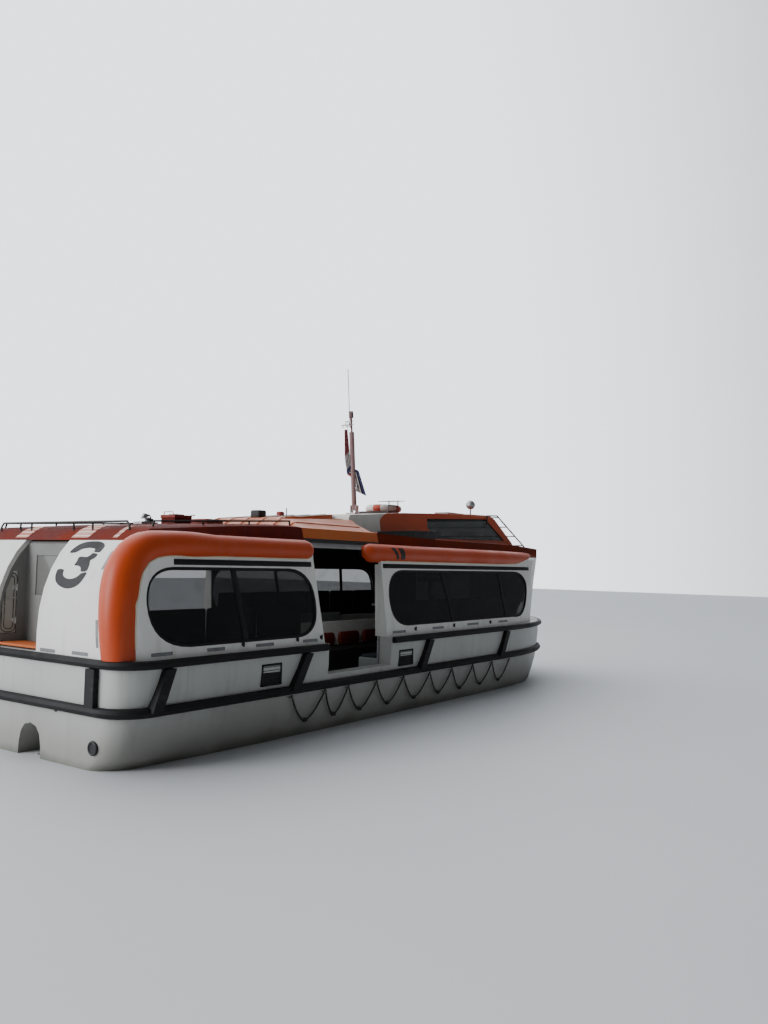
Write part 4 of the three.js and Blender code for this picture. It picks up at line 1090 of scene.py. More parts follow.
# Outlines of the stencilled number's three strokes, Y and Z of each point
NUMBER_STROKES = [
    [
        (-0.646, 2.465), (-0.696, 2.547), (-0.802, 2.590), (-0.957, 2.603), (-1.089, 2.598),
        (-1.187, 2.573), (-1.233, 2.541), (-1.232, 2.501), (-1.215, 2.469), (-1.115, 2.474),
        (-1.105, 2.500), (-1.047, 2.517), (-0.945, 2.520), (-0.836, 2.505), (-0.759, 2.463),
    ],
    [
        (-1.110, 2.456), (-1.205, 2.444), (-1.181, 2.397), (-1.128, 2.369), (-1.149, 2.331),
        (-1.165, 2.280), (-1.156, 2.244), (-1.063, 2.232), (-1.026, 2.274), (-0.958, 2.300),
        (-0.874, 2.306), (-0.884, 2.353), (-0.877, 2.397), (-0.923, 2.411), (-1.027, 2.409),
        (-1.083, 2.431),
    ],
    [
        (-1.167, 2.226), (-1.167, 2.192), (-1.146, 2.144), (-1.098, 2.083), (-1.012, 2.041),
        (-0.895, 2.026), (-0.769, 2.044), (-0.661, 2.087), (-0.604, 2.137), (-0.580, 2.198),
        (-0.597, 2.251), (-0.706, 2.250), (-0.713, 2.210), (-0.740, 2.176), (-0.804, 2.151),
        (-0.896, 2.140), (-0.985, 2.156), (-1.039, 2.183), (-1.074, 2.210),
    ],
]


def smooth_outline(points, steps=4):
    """A closed curve through the points, as a finer chain of points."""
    chain = [Vector(point) for point in points]
    fine = []
    for i, first in enumerate(chain):
        before, second, after = (chain[(i + shift) % len(chain)] for shift in (-1, 1, 2))
        for step in range(steps):
            t = step / steps
            bend = (before - first * 3 + second * 3 - after) * -(t**3)
            bend += (before * 2 - first * 5 + second * 4 - after) * t**2
            fine.append((bend + (second - before) * t) * 0.5 + first)
    return fine


def boat_number():
    """The plain stencilled numeral on the stern's starboard panel."""
    strokes = []
    for outline in NUMBER_STROKES:
        points = smooth_outline(outline)
        deselect()
        bpy.ops.mesh.primitive_circle_add(vertices=len(points), fill_type="NGON")
        stroke = bpy.context.object
        for vertex, (across, up) in zip(stroke.data.vertices, points):
            vertex.co = (-OUTSIDE, across, up)
        strokes.append(stroke)
    number = joined("boat_number", strokes)
    divide(number, 3)
    done(laid_on(number, "canopy_stern_stbd", X, 0.005), "marking")


def stern_door_fittings():
    """Hinges and a lever handle on the narrow door in the recess's port wall."""
    low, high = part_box("stern_door")
    fore, face = high.x - 0.012, low.y
    hinges = []
    for z in (low.z + 0.16, high.z - 0.2):
        hinges.append(drum((fore, face - 0.006, z), Z, 0.009, 0.09, 0.002, 12))
        hinges.append(plate((high.x - 0.08, face - 0.005, z - 0.03), (fore, face + 0.002, z + 0.03), 1, 0.01))
    done(joined("stern_door_hinges", hinges), "stainless", "stern_door")
    root = Vector((low.x + 0.09, face, 1.86))
    lever = [root + Y * 0.002, root - Y * 0.04, root - Y * 0.04 + X * 0.1]
    done(joined("stern_door_handle", [rod(bent(lever, 0.012), 0.008)]), "stainless", "stern_door")


def recess_trim():
    """Orange sill on the floor of the stern recess and a double seal round its narrow door."""
    sill = joined("recess_sill", [plate((-6.44, -0.42, 1.272), (-6.06, 0.50, 1.30), 2, 0.02, 0.008)])
    done(sill, "floor")
    low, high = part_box("stern_door")
    beads = []
    for inset in (0.012, 0.05):
        aft, fwd = low.x + inset, high.x - inset
        foot, head = low.z + inset, high.z - inset
        corners = [(aft, foot + 0.3), (aft, head), (fwd, head), (fwd, foot), (aft, foot), (aft, foot + 0.29)]
        beads.append(rod(bent([(x, low.y, z) for x, z in corners], 0.09, 6), 0.005))
    done(joined("door_seals", beads), "rubber", "stern_door")


# Starboard outlets on the transom: Y, Z and radius
OUTLETS = [(-1.67, 0.26, 0.07), (-0.95, 0.62, 0.03)]


def outlets():
    """Exhaust and drain outlets on the transom."""
    rings = []
    for y, z, radius in OUTLETS:
        skin = cast("hull", (-OUTSIDE, y, z), X)
        rings.append(hoop(skin - X * 0.006, Y, Z, radius, radius * 0.22, 20, 2))
        rings.append(drum(skin - X * 0.002, -X, radius * 0.9, 0.02))
    done(both_sides("transom_outlets", rings), "black")


def transom_strips():
    """Upright rubber strips near the transom's corners."""
    strip = patch("hull", X, straight(-1.72, -1.56, 0.74, 1.1), 4, 6, 0.012)
    done(round_sharp(both_sides("transom_strips", [strip]), 0.004), "rubber")


# Hull: vents, fender bolts, lifelines


# First and last X, low and high Z of each vent in the hull's side
VENTS = [(-4.35, -3.96, 0.77, 1.06), (-1.15, -0.74, 0.77, 1.03)]
VENT_BAR, VENT_SLATS, SLAT_TILT = 0.03, 5, math.radians(-35)


def hull_vents():
    """Louvred vents between the two fenders."""
    frames, slats = [], []
    for aft, fwd, low, high in VENTS:
        skin = side_skin("hull", (aft + fwd) / 2, (low + high) / 2).y
        outer, inner = skin - 0.012, skin + 0.03
        frames.append(block((aft + 0.01, skin - 0.003, low + 0.01), (fwd - 0.01, skin + 0.02, high - 0.01)))
        for x0, x1, z0, z1 in (
            (aft, fwd, low, low + VENT_BAR),
            (aft, fwd, high - VENT_BAR, high),
            (aft, aft + VENT_BAR, low, high),
            (fwd - VENT_BAR, fwd, low, high),
        ):
            frames.append(block((x0, outer, z0), (x1, inner, z1)))
        for i in range(VENT_SLATS):
            z = low + VENT_BAR + (high - low - 2 * VENT_BAR) * (i + 0.5) / VENT_SLATS
            slat = block((aft + VENT_BAR, -0.022, -0.003), (fwd - VENT_BAR, 0.022, 0.003), 0.002)
            middle = Matrix.Translation((0, (outer + inner) / 2, z))
            slat.data.transform(middle @ Matrix.Rotation(SLAT_TILT, 4, "X"))
            slats.append(slat)
    done(both_sides("vent_frames", frames), "rubber")
    done(both_sides("vent_slats", slats), "black")


# X of each upright rubbing strip's foot and head
RUBBING_STRIPS = [(-6.18, -6.0), (-3.81, -3.54), (-0.61, -0.34), (2.24, 2.51)]


def strip_bolts():
    """Bolts that hold the upright rubbing strips."""
    places = []
    for foot, head in RUBBING_STRIPS:
        for up in (0.25, 0.5, 0.75):
            for beside in (0.03, 0.12):
                places.append(Vector((foot + (head - foot) * up + beside, -2.28, 0.67 + up * 0.48)))
    first = drum(places[0], -Y, 0.009, 0.0099, 0.00225, 10)
    heads = [first] + [moved(first, place - places[0]) for place in places[1:]]
    done(both_sides("strip_bolts", heads), "dark_metal")


# Places along the side where the lifeline is held, its heights and how far it stands off the hull
LINE_HOLDS = [-3.75, -3.02, -2.48, -1.76, -1.01, -0.21, 0.53, 1.28, 2.03, 2.76]
LINE_TOP, LINE_LOW, LINE_STAND = 0.599, 0.215, 0.044
LINE_STEPS = 10


def line_place(x, z, sign):
    """A place that the lifeline runs through, off the hull's skin."""
    return cast("hull", (x, sign * OUTSIDE, z), Y * -sign) + Y * sign * LINE_STAND


def lifelines():
    """Rope in loops along both sides of the hull."""
    radius = settings().rope
    for side, sign in SIDES.items():
        points, knots = [], []
        for first, second in zip(LINE_HOLDS, LINE_HOLDS[1:]):
            for step in range(LINE_STEPS):
                t = step / LINE_STEPS
                z = LINE_TOP - (LINE_TOP - LINE_LOW) * (1 - abs(2 * t - 1) ** 1.7)
                points.append(line_place(first * (1 - t) + second * t, z, sign))
            knots.append(knot(points[-LINE_STEPS // 2], radius))
        points.append(line_place(LINE_HOLDS[-1], LINE_TOP, sign))
        rope = joined(f"lifeline_{side}_rope", [rod(points, radius, roundness=3), *knots])
        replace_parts(done(rope, "rope"), f"lifeline_{side}")


def knot(middle, radius, turns=3, steps=12):
    """Turns of rope round the lifeline at the low of a loop."""
    points = []
    for i in range(turns * steps + 1):
        angle = math.tau * i / steps
        along = (i / (turns * steps) - 0.5) * turns * radius * 1.9
        points.append(middle + X * along + (Y * math.cos(angle) + Z * math.sin(angle)) * radius * 1.5)
    return rod(points, radius * 0.8)


def lifeline_eyes():
    """Eye plates that hold the lifeline under the lower fender."""
    places = [side_skin("hull", x, LINE_TOP - 0.03) for x in LINE_HOLDS]
    eyes = [hoop(place - Y * 0.035, X, -Y, 0.03, 0.006) for place in places]
    done(both_sides("lifeline_eyes", eyes), "steel")


# Canopy sides: eaves bars, roll trim, lashings, latches


# Wall, first and last X of the bar above its window, and its heights
EAVES_BARS = [("canopy_side_aft_stbd", -5.72, -3.18), ("canopy_side_fwd_stbd", -1.38, 4.0)]
EAVES_LOW, EAVES_HIGH = 2.34, 2.41


def eaves_bars():
    """Dark bars of rubber above the side windows."""
    bars = []
    for node, aft, fwd in EAVES_BARS:
        bars.append(patch(node, Y, straight(aft, fwd, EAVES_LOW, EAVES_HIGH), 24, 2, 0.01))
    done(round_sharp(both_sides("eaves_bars", bars), 0.004), "rubber")


# Lines beside each roll's inner edge, X and Z, and the first and last X of the windows that it goes round
ROLL_EDGES = [
    ("aft", (-5.5, -3.4), [
        (-6.27, 1.27), (-6.30, 1.6), (-6.31, 1.88), (-6.26, 2.14), (-6.18, 2.25), (-6.08, 2.355),
        (-5.96, 2.415), (-5.82, 2.44), (-3.12, 2.44),
    ]),
    ("fwd", (-1.0, 3.6), [(-1.30, 2.45), (3.6, 2.45)]),
]
ROLL_TRIM = 0.011
WINDOW_MIDDLE = 1.85


def reach_out(node, x, z):
    """How far out a part reaches at a place on the boat's side, or 0 where it has nothing there."""
    hit, place, *_ = PAINTED[node].ray_cast(Vector((x, -OUTSIDE, z)), Y)
    return -place.y if hit else 0


def roll_edge(x, z, windows, group):
    """The place near a point where the wall disappears under the roll."""
    wall, roll = f"canopy_side_{group}_stbd", f"roll_{group}_stbd"
    middle = Vector((min(max(x, windows[0]), windows[1]), WINDOW_MIDDLE))
    inward = (middle - Vector((x, z))).normalized()
    inner, outer = Vector((x, z)) + inward * 0.14, Vector((x, z)) - inward * 0.12
    for _ in range(9):
        half = (inner + outer) / 2
        covered = reach_out(roll, *half) > reach_out(wall, *half)
        inner, outer = (inner, half) if covered else (half, outer)
    return Vector((inner.x, -reach_out(wall, *inner), inner.y))


def roll_trim():
    """Pale beads where the rolls meet the canopy's walls."""
    beads = []
    for group, windows, path in ROLL_EDGES:
        points = []
        for first, second in zip(path, path[1:]):
            steps = max(1, round(math.dist(first, second) / 0.1))
            for step in range(steps):
                x, z = (a + (b - a) * step / steps for a, b in zip(first, second))
                points.append(roll_edge(x, z, windows, group))
        points.append(roll_edge(*path[-1], windows, group))
        beads.append(rod(points, ROLL_TRIM))
    done(both_sides("roll_trim", beads), "trim")


# Bands across the forward roll: X of both edges at the foot, then at the head
ROLL_BANDS = [((-1.03, -0.97), (-1.20, -1.09)), ((-0.91, -0.80), (-1.00, -0.85))]
BAND_LOW, BAND_HIGH = 2.49, 2.67


def roll_bands():
    """Two dark lashings that lean across the forward roll."""
    bands = []
    for foot, head in ROLL_BANDS:
        bands.append(patch("roll_fwd_stbd", Y, leaning(BAND_LOW, BAND_HIGH, foot, head), 3, 10, 0.005))
    done(both_sides("roll_bands", bands), "black")


# X of the latches along the foot of each wall
LATCHES = {"canopy_side_aft_stbd": (-4.62, -3.56, -3.04), "canopy_side_fwd_stbd": (-0.55, 0.72, 2.1)}


def side_latches():
    """Small turn latches along the foot of the canopy's walls."""
    latches = []
    for node, places in LATCHES.items():
        for x in places:
            y = side_skin(node, x, 1.33).y
            latches.append(plate((x - 0.022, y - 0.012, 1.315), (x + 0.022, y + 0.004, 1.36), 1, 0.01))
            latches.append(block((x - 0.008, y - 0.03, 1.305), (x + 0.008, y - 0.01, 1.375)))
    done(both_sides("side_latches", latches), "dark_metal")


# Roof: non-slip pads, tread strips, hood ribs, hatch and lifting fittings


# Pads on the roofs: first and last X, first and last Y
ROOF_PADS = {
    "roof_aft": [
        (-5.86, -4.95, 0.75, 1.4),
        (-5.86, -4.95, -0.42, 0.42),
        (-5.86, -4.95, -1.2, -0.9),
        (-4.6, -4.32, -1.4, -0.5),
        (-4.6, -4.32, 0.5, 1.4),
        (-4.15, -3.2, -1.4, -0.42),
        (-4.15, -3.2, 0.42, 1.4),
    ],
    "roof_fwd": [
        (4.95, 5.6, -0.9, -0.25),
        (4.95, 5.6, 0.25, 0.9),
        (-0.9, 1.6, -1.66, -1.34),
        (-0.9, 1.6, 1.34, 1.66),
        (1.75, 4.4, -1.66, -1.34),
        (1.75, 4.4, 1.34, 1.66),
    ],
}


def roof_pads():
    """Rounded non-slip pads on the aft and forward roofs."""
    pads = []
    for node, table in ROOF_PADS.items():
        for aft, fwd, low, high in table:
            pad = plate((aft, low, OUTSIDE), (fwd, high, OUTSIDE + 0.002), 2, 0.07, 0.0004)
            pick_faces(pad, lambda normal: normal.z < 0.5)
            bpy.ops.mesh.delete(type="FACE")
            bpy.ops.mesh.select_all(action="SELECT")
            bpy.ops.mesh.remove_doubles(threshold=0.002)
            end_edit()
            divide(pad, 3)
            pads.append(laid_on(pad, node, -Z))
    done(joined("roof_pads", pads), "pad")


# First and last Y of the strips over the roof's aft lip
TREAD_STRIPS = [(0.56, 0.83), (-0.765, -0.42), (-1.33, -1.246)]


def tread_strips():
    """Pale strips over the roof's aft lip, between the pads."""
    strips = [patch("roof_aft", -Z, straight(-6.03, -5.4, *edges), 14, 4) for edges in TREAD_STRIPS]
    done(joined("tread_strips", strips), "tread")


RIB_COUNT, RIB_PITCH, RIB_HALF = 9, 0.36, 0.025


def hood_ribs():
    """Moulded ribs that run fore and aft on the hood over the entrances."""
    ribs = []
    for i in range(RIB_COUNT):
        low = -RIB_PITCH * (RIB_COUNT - 1) / 2 + RIB_PITCH * i - RIB_HALF
        ribs.append(patch("roof_mid", -Z, straight(-3.02, -1.3, low, low + 2 * RIB_HALF), 30, 2, 0.012))
    done(round_sharp(joined("hood_ribs", ribs), 0.006), "hood")


def hatch_fittings():
    """Cap, grip and hinges of the roof hatch."""
    low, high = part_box("hatch_lid")
    inset = X * 0.07 + Y * 0.07
    foot, head = Vector((low.x, low.y, high.z - 0.002)), high + Z * 0.014
    cap = joined("hatch_cap", [plate(foot + inset, head - inset, 2, 0.05)])
    done(cap, "grey", "hatch_lid")
    corners = [(-0.1, -0.004), (-0.1, 0.045), (0.1, 0.045), (0.1, -0.004)]
    path = bent([(low.x + 0.02, y, high.z + up) for y, up in corners], 0.025)
    done(joined("hatch_grip", [rod(path, 0.008)]), "stainless", "hatch_lid")
    hinge = drum((high.x - 0.012, -0.18, high.z + 0.004), Y, 0.011, 0.09, 0.002, 12)
    done(joined("hatch_hinges", [hinge, moved(hinge, Y * 0.36)]), "stainless", "hatch_lid")


# Low boxes along the roof's middle: first and last X, half width, rise, roof below, material and slot
ROOF_BOXES = [
    (-4.51, -4.40, 0.06, 0.06, "roof_aft", "black", "black"),
    (-3.52, -3.16, 0.2, 0.07, "roof_aft", "red", "maroon"),
    (-2.28, -2.09, 0.11, 0.1, "roof_mid", "black", "black"),
    (-1.70, -1.58, 0.06, 0.06, "roof_mid", "red", "maroon"),
]


def roof_boxes():
    """Low boxes with rounded lids along the roof's middle and a short aerial beside them."""
    for number, (aft, fwd, half, rise, node, material, slot) in enumerate(ROOF_BOXES, 1):
        skins = [top_skin(node, x, y).z for x in (aft, fwd) for y in (0, half)]
        foot, top = min(skins) - 0.01, max(skins) + rise
        case = plate((aft, -half, foot), (fwd, half, top), 2, 0.04, 0.012)
        lid = plate((aft + 0.01, -half + 0.01, top - 0.003), (fwd - 0.01, half - 0.01, top + 0.008), 2, 0.03)
        done(joined(f"roof_box_{number}", [case, lid]), material)
    foot = top_skin("roof_mid", -1.82, -0.3)
    done(joined("roof_aerial", [rod([foot - Z * 0.01, foot + Z * 0.14], 0.009)]), "black")


def hook_pins():
    """Pins of the two lifting hooks."""
    pins = []
    for node in ("hook_aft", "hook_fwd"):
        low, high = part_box(node)
        middle = (low + high) / 2
        middle.z = high.z - 0.06
        pins.append(drum(middle, Y, 0.016, high.y - low.y + 0.03, 0.003, 14))
    done(joined("hook_pins", pins), "stainless")


# Wheelhouse and the boards beside it


# Boards along the forward roof's edge: first and last X, foot and head aft, foot and head forward, material
EDGE_BOARDS = [
    (-1.16, -0.08, 2.75, 2.945, 2.80, 3.005, "board", "grey"),
    # This black board stands for the shadowed hollow below the wheelhouse's window: painted shade
    (-0.07, 0.66, 2.80, 3.005, 2.82, 3.02, "black", "black"),
]
EDGE_BOARD_Y, EDGE_BOARD_THICK = -1.72, 0.014


def edge_boards():
    """Blank boards that stand on the forward roof's edges, each with a raised rim; the forward one is black,
    as painted shade.
    """
    inner, outer = EDGE_BOARD_Y, EDGE_BOARD_Y - EDGE_BOARD_THICK
    for number, (aft, fwd, *heights, material, slot) in enumerate(EDGE_BOARDS, 1):
        foot_aft, head_aft, foot_fwd, head_fwd = heights
        pieces = [plate((aft, outer, 0), (fwd, inner, 1), 1, 0.02)]
        for low, high in ((0.0, 0.08), (0.92, 1.0)):
            pieces.append(block((aft + 0.02, outer - 0.006, low), (fwd - 0.02, inner + 0.006, high)))
        board = joined("board", pieces)
        for vertex in board.data.vertices:
            part = (vertex.co.x - aft) / (fwd - aft)
            foot = foot_aft * (1 - part) + foot_fwd * part
            head = head_aft * (1 - part) + head_fwd * part
            vertex.co.z = foot + (head - foot) * vertex.co.z
        done(both_sides(f"edge_board_{number}", [board]), material)


def roof_plate():
    """Flat hatch plate on the wheelhouse's roof."""
    skin = top_skin("wheelhouse", 2.75, -0.7)
    made = plate((2.5, -0.9, skin.z - 0.01), (3.17, -0.55, skin.z + 0.03), 2, 0.04)
    done(joined("roof_plate", [made]), "grey")


def windscreen_wipers():
    """Two wipers parked along the windscreen's foot."""
    wipers = []
    for y in (-0.45, 0.45):
        foot = Vector((4.93, y, 2.93))
        tip = Vector((4.60, y + 0.32, 3.17))
        wipers.append(rod([foot, foot.lerp(tip, 0.9) + X * 0.03 + Z * 0.02], 0.007))
        wipers.append(rod([tip + X * 0.02 - Y * 0.2, tip + X * 0.02 + Y * 0.2], 0.009))
        wipers.append(drum(foot, (0.8, 0, 0.6), 0.022, 0.05, 0.004, 14))
    done(joined("wipers", wipers), "black")


# Mast, lantern, flag and halyard


MAST_X = 0.47
MAST_RAKE = math.radians(5.5)
MAST_FOOT = 3.46


def on_mast(height, beside=0.0):
    """A place at a height along the raked mast."""
    return Vector((MAST_X - (height - MAST_FOOT) * math.tan(MAST_RAKE), beside, height))


def lantern():
    """Lamp at the mast's head in a cage of six bars."""
    base, top = on_mast(5.215), on_mast(5.327)
    lamp = drum((base + top) / 2, top - base, 0.03, 0.09, 0.006, 20)
    done(joined("mast_lamp", [lamp]), "lamp", "mast")
    cage = [drum(place, top - base, 0.043, 0.01, 0.002, 20) for place in (base, top)]
    for angle in (math.tau * i / 6 for i in range(6)):
        offset = (X * math.cos(angle) + Y * math.sin(angle)) * 0.04
        cage.append(rod([base + offset, top + offset], 0.006, roundness=1))
    done(joined("mast_cage", cage), "black", "mast")


def spreader_and_halyard():
    """Short arm with two loops, and a line from it to a cleat low on the mast."""
    arm = on_mast(5.08)
    spreader = [rod([arm - Y * 0.05, arm + Y * 0.24], 0.012)]
    spreader += [hoop(arm + Y * y - Z * 0.03, X, Z, 0.024, 0.005) for y in (0.1, 0.2)]
    done(joined("mast_spreader", spreader), "white", "mast")
    cleat = on_mast(3.86, -0.06)
    horns = block(cleat + Vector((-0.012, -0.02, -0.07)), cleat + Vector((0.012, 0, 0.07)), 0.005)
    foot = block(cleat + Vector((-0.01, -0.01, -0.02)), cleat + Vector((0.01, 0.03, 0.02)), 0.003)
    done(joined("mast_cleat", [horns, foot]), "steel", "mast")
    path = bent([arm + Y * 0.1 - Z * 0.05, on_mast(4.4, 0.07), cleat + Z * 0.03], 0.3)
    done(joined("halyard", [rod(path, settings().halyard)]), "line", "mast")


# Left and right edge of the hanging flag, from its head down: distance across and height
FLAG_LEFT = [(-0.140, 4.98), (-0.155, 4.40), (-0.120, 4.12), (-0.030, 4.06), (-0.020, 3.83)]
FLAG_RIGHT = [(-0.080, 4.98), (-0.050, 4.50), (-0.030, 4.26), (0.110, 4.20), (0.245, 3.71)]
FLAG_TURN = math.radians(-55)
FLAG_PLEATS = 4
FLAG_COLUMNS, FLAG_ROWS = 64, 60
# Share of the length above which the stripes run across the flag's hoist
FLAG_HOIST = 0.55


def along(points, t):
    """A place on a chain of points, at a share of its pieces."""
    step = min(int(t * (len(points) - 1)), len(points) - 2)
    return Vector(points[step]).lerp(Vector(points[step + 1]), t * (len(points) - 1) - step)


def flag():
    """Limp cloth in deep pleats that hangs from the spreader."""
    width = settings().flag_width

    def place(u, v):
        left, right = along(FLAG_LEFT, v), along(FLAG_RIGHT, v)
        across, height = left.lerp(right, u)
        slack = max(0, width**2 - (right - left).length ** 2) ** 0.5
        fold = slack / (4 * FLAG_PLEATS) * 0.8 * math.cos(math.tau * FLAG_PLEATS * u)
        level = X * math.cos(FLAG_TURN) + Y * math.sin(FLAG_TURN)
        beside = Y * math.cos(FLAG_TURN) - X * math.sin(FLAG_TURN)
        return on_mast(height) + level * across + beside * fold

    obj = joined("flag_cloth", [drape(FLAG_COLUMNS, FLAG_ROWS, place)])
    stripes = obj.data.uv_layers.new(name="stripes")
    for loop in obj.data.loops:
        row, column = divmod(loop.vertex_index, FLAG_COLUMNS + 1)
        across, down = column / FLAG_COLUMNS, row / FLAG_ROWS
        stripes.data[loop.index].uv = (min(1, down * 1.5) if down < FLAG_HOIST else across, down)
    apply_modifier(obj, "SOLIDIFY", thickness=0.0012, offset=0)
    done(obj, "flag", "mast", 80)
    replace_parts(obj, "flag")


# Lifebuoy on its rack


def buoy_rope():
    """Grab line round the lifebuoy, held at four places."""
    low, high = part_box("ring_buoy")
    centre = (low + high) / 2 + Z * 0.02
    radius = (high.x - low.x) / 2 - 0.042
    points = []
    for angle in (math.tau * i / 64 for i in range(64)):
        out = radius + 0.018 * math.cos(4 * angle + math.pi)
        points.append(centre + (X * math.cos(angle) + Y * math.sin(angle)) * out)
    done(joined("buoy_rope", [rod(points, 0.006, True)]), "line")


# Seat pads and cushions


SEAT_Z = 0.88
SEAT_WIDTH = 0.48


def seat_pads():
    """Vinyl pads along the wall benches."""
    pads = []
    for node in ("bench_aft_stbd", "bench_fwd_stbd"):
        low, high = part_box(node)
        seats = round((high.x - low.x) / SEAT_WIDTH)
        step = (high.x - low.x) / seats
        near, far = max(low.y + 0.05, high.y - 0.42), high.y - 0.02
        for i in range(seats):
            first = low.x + step * i
            foot, head = (first + 0.02, near, SEAT_Z - 0.002), (first + step - 0.02, far, SEAT_Z + 0.045)
            pads.append(plate(foot, head, 2, 0.04, 0.014))
    done(both_sides("seat_pads", pads), "cushion")


# First X of the back cushions on the middle bench, their pitch, count, width and heights
CUSHION_AFT, CUSHION_PITCH, CUSHION_COUNT = -3.0, 0.755, 7
CUSHION_WIDTH, CUSHION_LOW, CUSHION_HIGH = 0.6, 0.885, 1.13
BENCH_BACK_HALF = 0.02


def back_cushions():
    """Rounded cushions on both faces of the middle bench's back."""
    made = []
    for i in range(CUSHION_COUNT):
        aft = CUSHION_AFT + CUSHION_PITCH * i
        low = (aft, -BENCH_BACK_HALF - 0.07, CUSHION_LOW)
        high = (aft + CUSHION_WIDTH, -BENCH_BACK_HALF + 0.002, CUSHION_HIGH)
        made.append(plate(low, high, 1, 0.08, 0.02))
    done(both_sides("back_cushions", made), "chair")


# Operators, one for each group of pieces


class LifeboatOperator:
    bl_options = {"REGISTER", "UNDO"}


class LIFEBOAT_OT_stage(LifeboatOperator, bpy.types.Operator):
    """Set the camera, the floor at the waterline and the soft lights"""

    bl_idname = "lifeboat.stage"
    bl_label = "Stage"

    def execute(self, context):
        make_camera()
        make_floor()
        make_sky()
        make_lights()
        return {"FINISHED"}


class LIFEBOAT_OT_paint_shell(LifeboatOperator, bpy.types.Operator):
    """Round and paint the hull, canopy, rolls, roofs and wheelhouse, with painted shade on their inner faces
    """

    bl_idname = "lifeboat.paint_shell"
    bl_label = "Shell"

    def execute(self, context):
        MATERIALS.update(make_materials())
        paint_parts(SHELL_PARTS)
        shade_inside()
        return {"FINISHED"}


class LIFEBOAT_OT_paint_fittings(LifeboatOperator, bpy.types.Operator):
    """Round and paint the fenders, rails, hooks, rudders and other fitted parts"""

    bl_idname = "lifeboat.paint_fittings"
    bl_label = "Fitted parts"

    def execute(self, context):
        paint_parts(FITTED_PARTS)
        return {"FINISHED"}


class LIFEBOAT_OT_paint_cabin(LifeboatOperator, bpy.types.Operator):
    """Paint the benches, helm and engines, with painted shade under the middle bench's seat, and lay pads and
    cushions on the benches
    """

    bl_idname = "lifeboat.paint_cabin"
    bl_label = "Cabin"

    def execute(self, context):
        paint_parts(CABIN_PARTS)
        # Painted shade: the middle bench is near-black below its seat
        repaint("bench_mid", "painted_shade", lambda centre, normal: centre.z < SEAT_Z + 0.01)
        seat_pads()
        back_cushions()
        return {"FINISHED"}


class LIFEBOAT_OT_windows(LifeboatOperator, bpy.types.Operator):
    """Glaze the windows and fit their seals, dividers and the near-black panels of painted shade behind their
    lower part
    """

    bl_idname = "lifeboat.windows"
    bl_label = "Windows"

    def execute(self, context):
        paint_parts(GLASS_PARTS)
        window_seals()
        window_dividers()
        cabin_shade_panels()
        return {"FINISHED"}


class LIFEBOAT_OT_markings(LifeboatOperator, bpy.types.Operator):
    """Lay the reflective tapes and the boat's number"""

    bl_idname = "lifeboat.markings"
    bl_label = "Markings"

    def execute(self, context):
        tapes()
        boat_number()
        return {"FINISHED"}


class LIFEBOAT_OT_stern(LifeboatOperator, bpy.types.Operator):
    """Fit the stern door's hardware and seals, the recess sill and the transom's outlets"""

    bl_idname = "lifeboat.stern"
    bl_label = "Stern"

    def execute(self, context):
        stern_door_fittings()
        recess_trim()
        outlets()
        transom_strips()
        return {"FINISHED"}


class LIFEBOAT_OT_hull_fittings(LifeboatOperator, bpy.types.Operator):
    """Fit the hull's vents, rubbing strip bolts and lifelines"""

    bl_idname = "lifeboat.hull_fittings"
    bl_label = "Hull fittings"

    def execute(self, context):
        hull_vents()
        strip_bolts()
        lifelines()
        lifeline_eyes()
        return {"FINISHED"}


class LIFEBOAT_OT_canopy_sides(LifeboatOperator, bpy.types.Operator):
    """Fit the eaves bars, roll trim, lashings and latches of the canopy's walls"""

    bl_idname = "lifeboat.canopy_sides"
    bl_label = "Canopy sides"

    def execute(self, context):
        eaves_bars()
        roll_trim()
        roll_bands()
        side_latches()
        return {"FINISHED"}


class LIFEBOAT_OT_roof(LifeboatOperator, bpy.types.Operator):
    """Lay the roof's pads, strips and ribs, and fit its hatch, boxes, hooks and buoy rope"""

    bl_idname = "lifeboat.roof"
    bl_label = "Roof"

    def execute(self, context):
        roof_pads()
        tread_strips()
        hood_ribs()
        hatch_fittings()
        roof_boxes()
        hook_pins()
        buoy_rope()
        return {"FINISHED"}


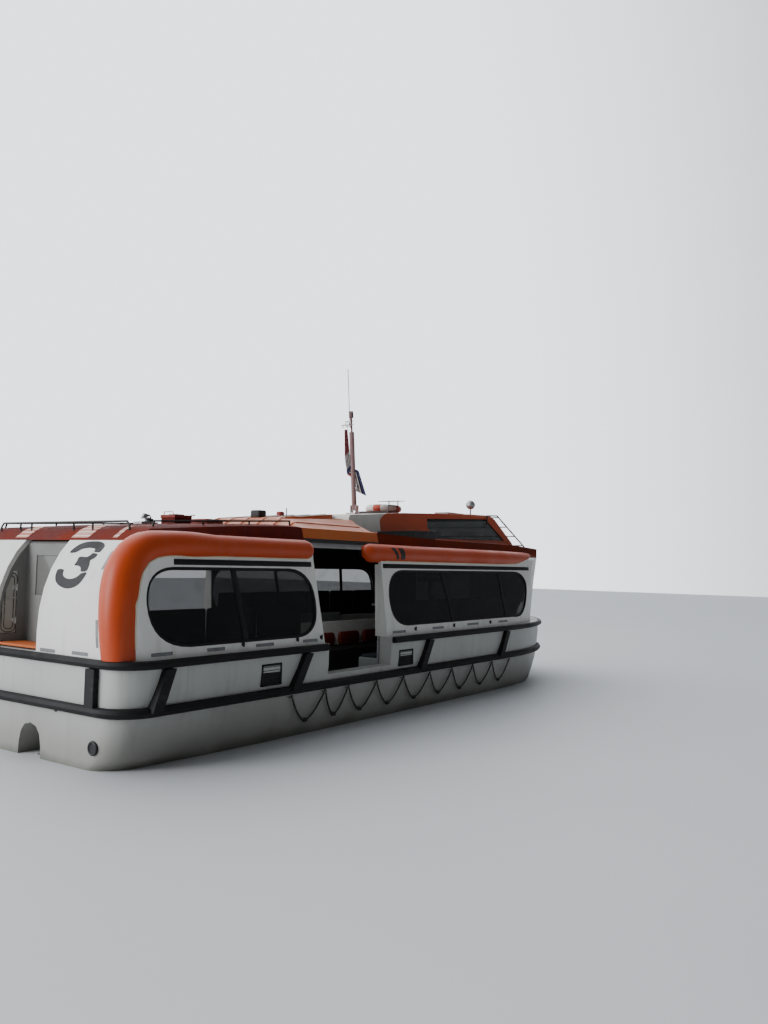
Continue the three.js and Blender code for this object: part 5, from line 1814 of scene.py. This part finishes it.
class LIFEBOAT_OT_wheelhouse(LifeboatOperator, bpy.types.Operator):
    """Fit the blank boards, the roof plate and the wipers"""

    bl_idname = "lifeboat.wheelhouse"
    bl_label = "Wheelhouse"

    def execute(self, context):
        edge_boards()
        roof_plate()
        windscreen_wipers()
        return {"FINISHED"}


class LIFEBOAT_OT_mast(LifeboatOperator, bpy.types.Operator):
    """Fit the mast's lantern, spreader, cleat and halyard, and hang the flag"""

    bl_idname = "lifeboat.mast"
    bl_label = "Mast and flag"

    def execute(self, context):
        lantern()
        spreader_and_halyard()
        flag()
        return {"FINISHED"}


OPERATORS = [
    LIFEBOAT_OT_stage,
    LIFEBOAT_OT_paint_shell,
    LIFEBOAT_OT_paint_fittings,
    LIFEBOAT_OT_paint_cabin,
    LIFEBOAT_OT_windows,
    LIFEBOAT_OT_markings,
    LIFEBOAT_OT_stern,
    LIFEBOAT_OT_hull_fittings,
    LIFEBOAT_OT_canopy_sides,
    LIFEBOAT_OT_roof,
    LIFEBOAT_OT_wheelhouse,
    LIFEBOAT_OT_mast,
]


class LIFEBOAT_PT_sidebar(bpy.types.Panel):
    """Lifeboat's pieces in the sidebar"""

    bl_idname = "LIFEBOAT_PT_sidebar"
    bl_label = "Tender lifeboat"
    bl_space_type = "VIEW_3D"
    bl_region_type = "UI"
    bl_category = "Lifeboat"

    def draw(self, context):
        for operator in OPERATORS:
            self.layout.operator(operator.bl_idname)
        for name in LifeboatSettings.__annotations__:
            self.layout.prop(context.scene.lifeboat, name)


CLASSES = [LifeboatSettings, *OPERATORS, LIFEBOAT_PT_sidebar]


def register():
    for cls in CLASSES:
        bpy.utils.register_class(cls)
    bpy.types.Scene.lifeboat = bpy.props.PointerProperty(type=LifeboatSettings)


def unregister():
    del bpy.types.Scene.lifeboat
    for cls in reversed(CLASSES):
        bpy.utils.unregister_class(cls)


def main():
    register()
    for operator in OPERATORS:
        group, name = operator.bl_idname.split(".")
        getattr(getattr(bpy.ops, group), name)()


if __name__ == "__main__":
    main()
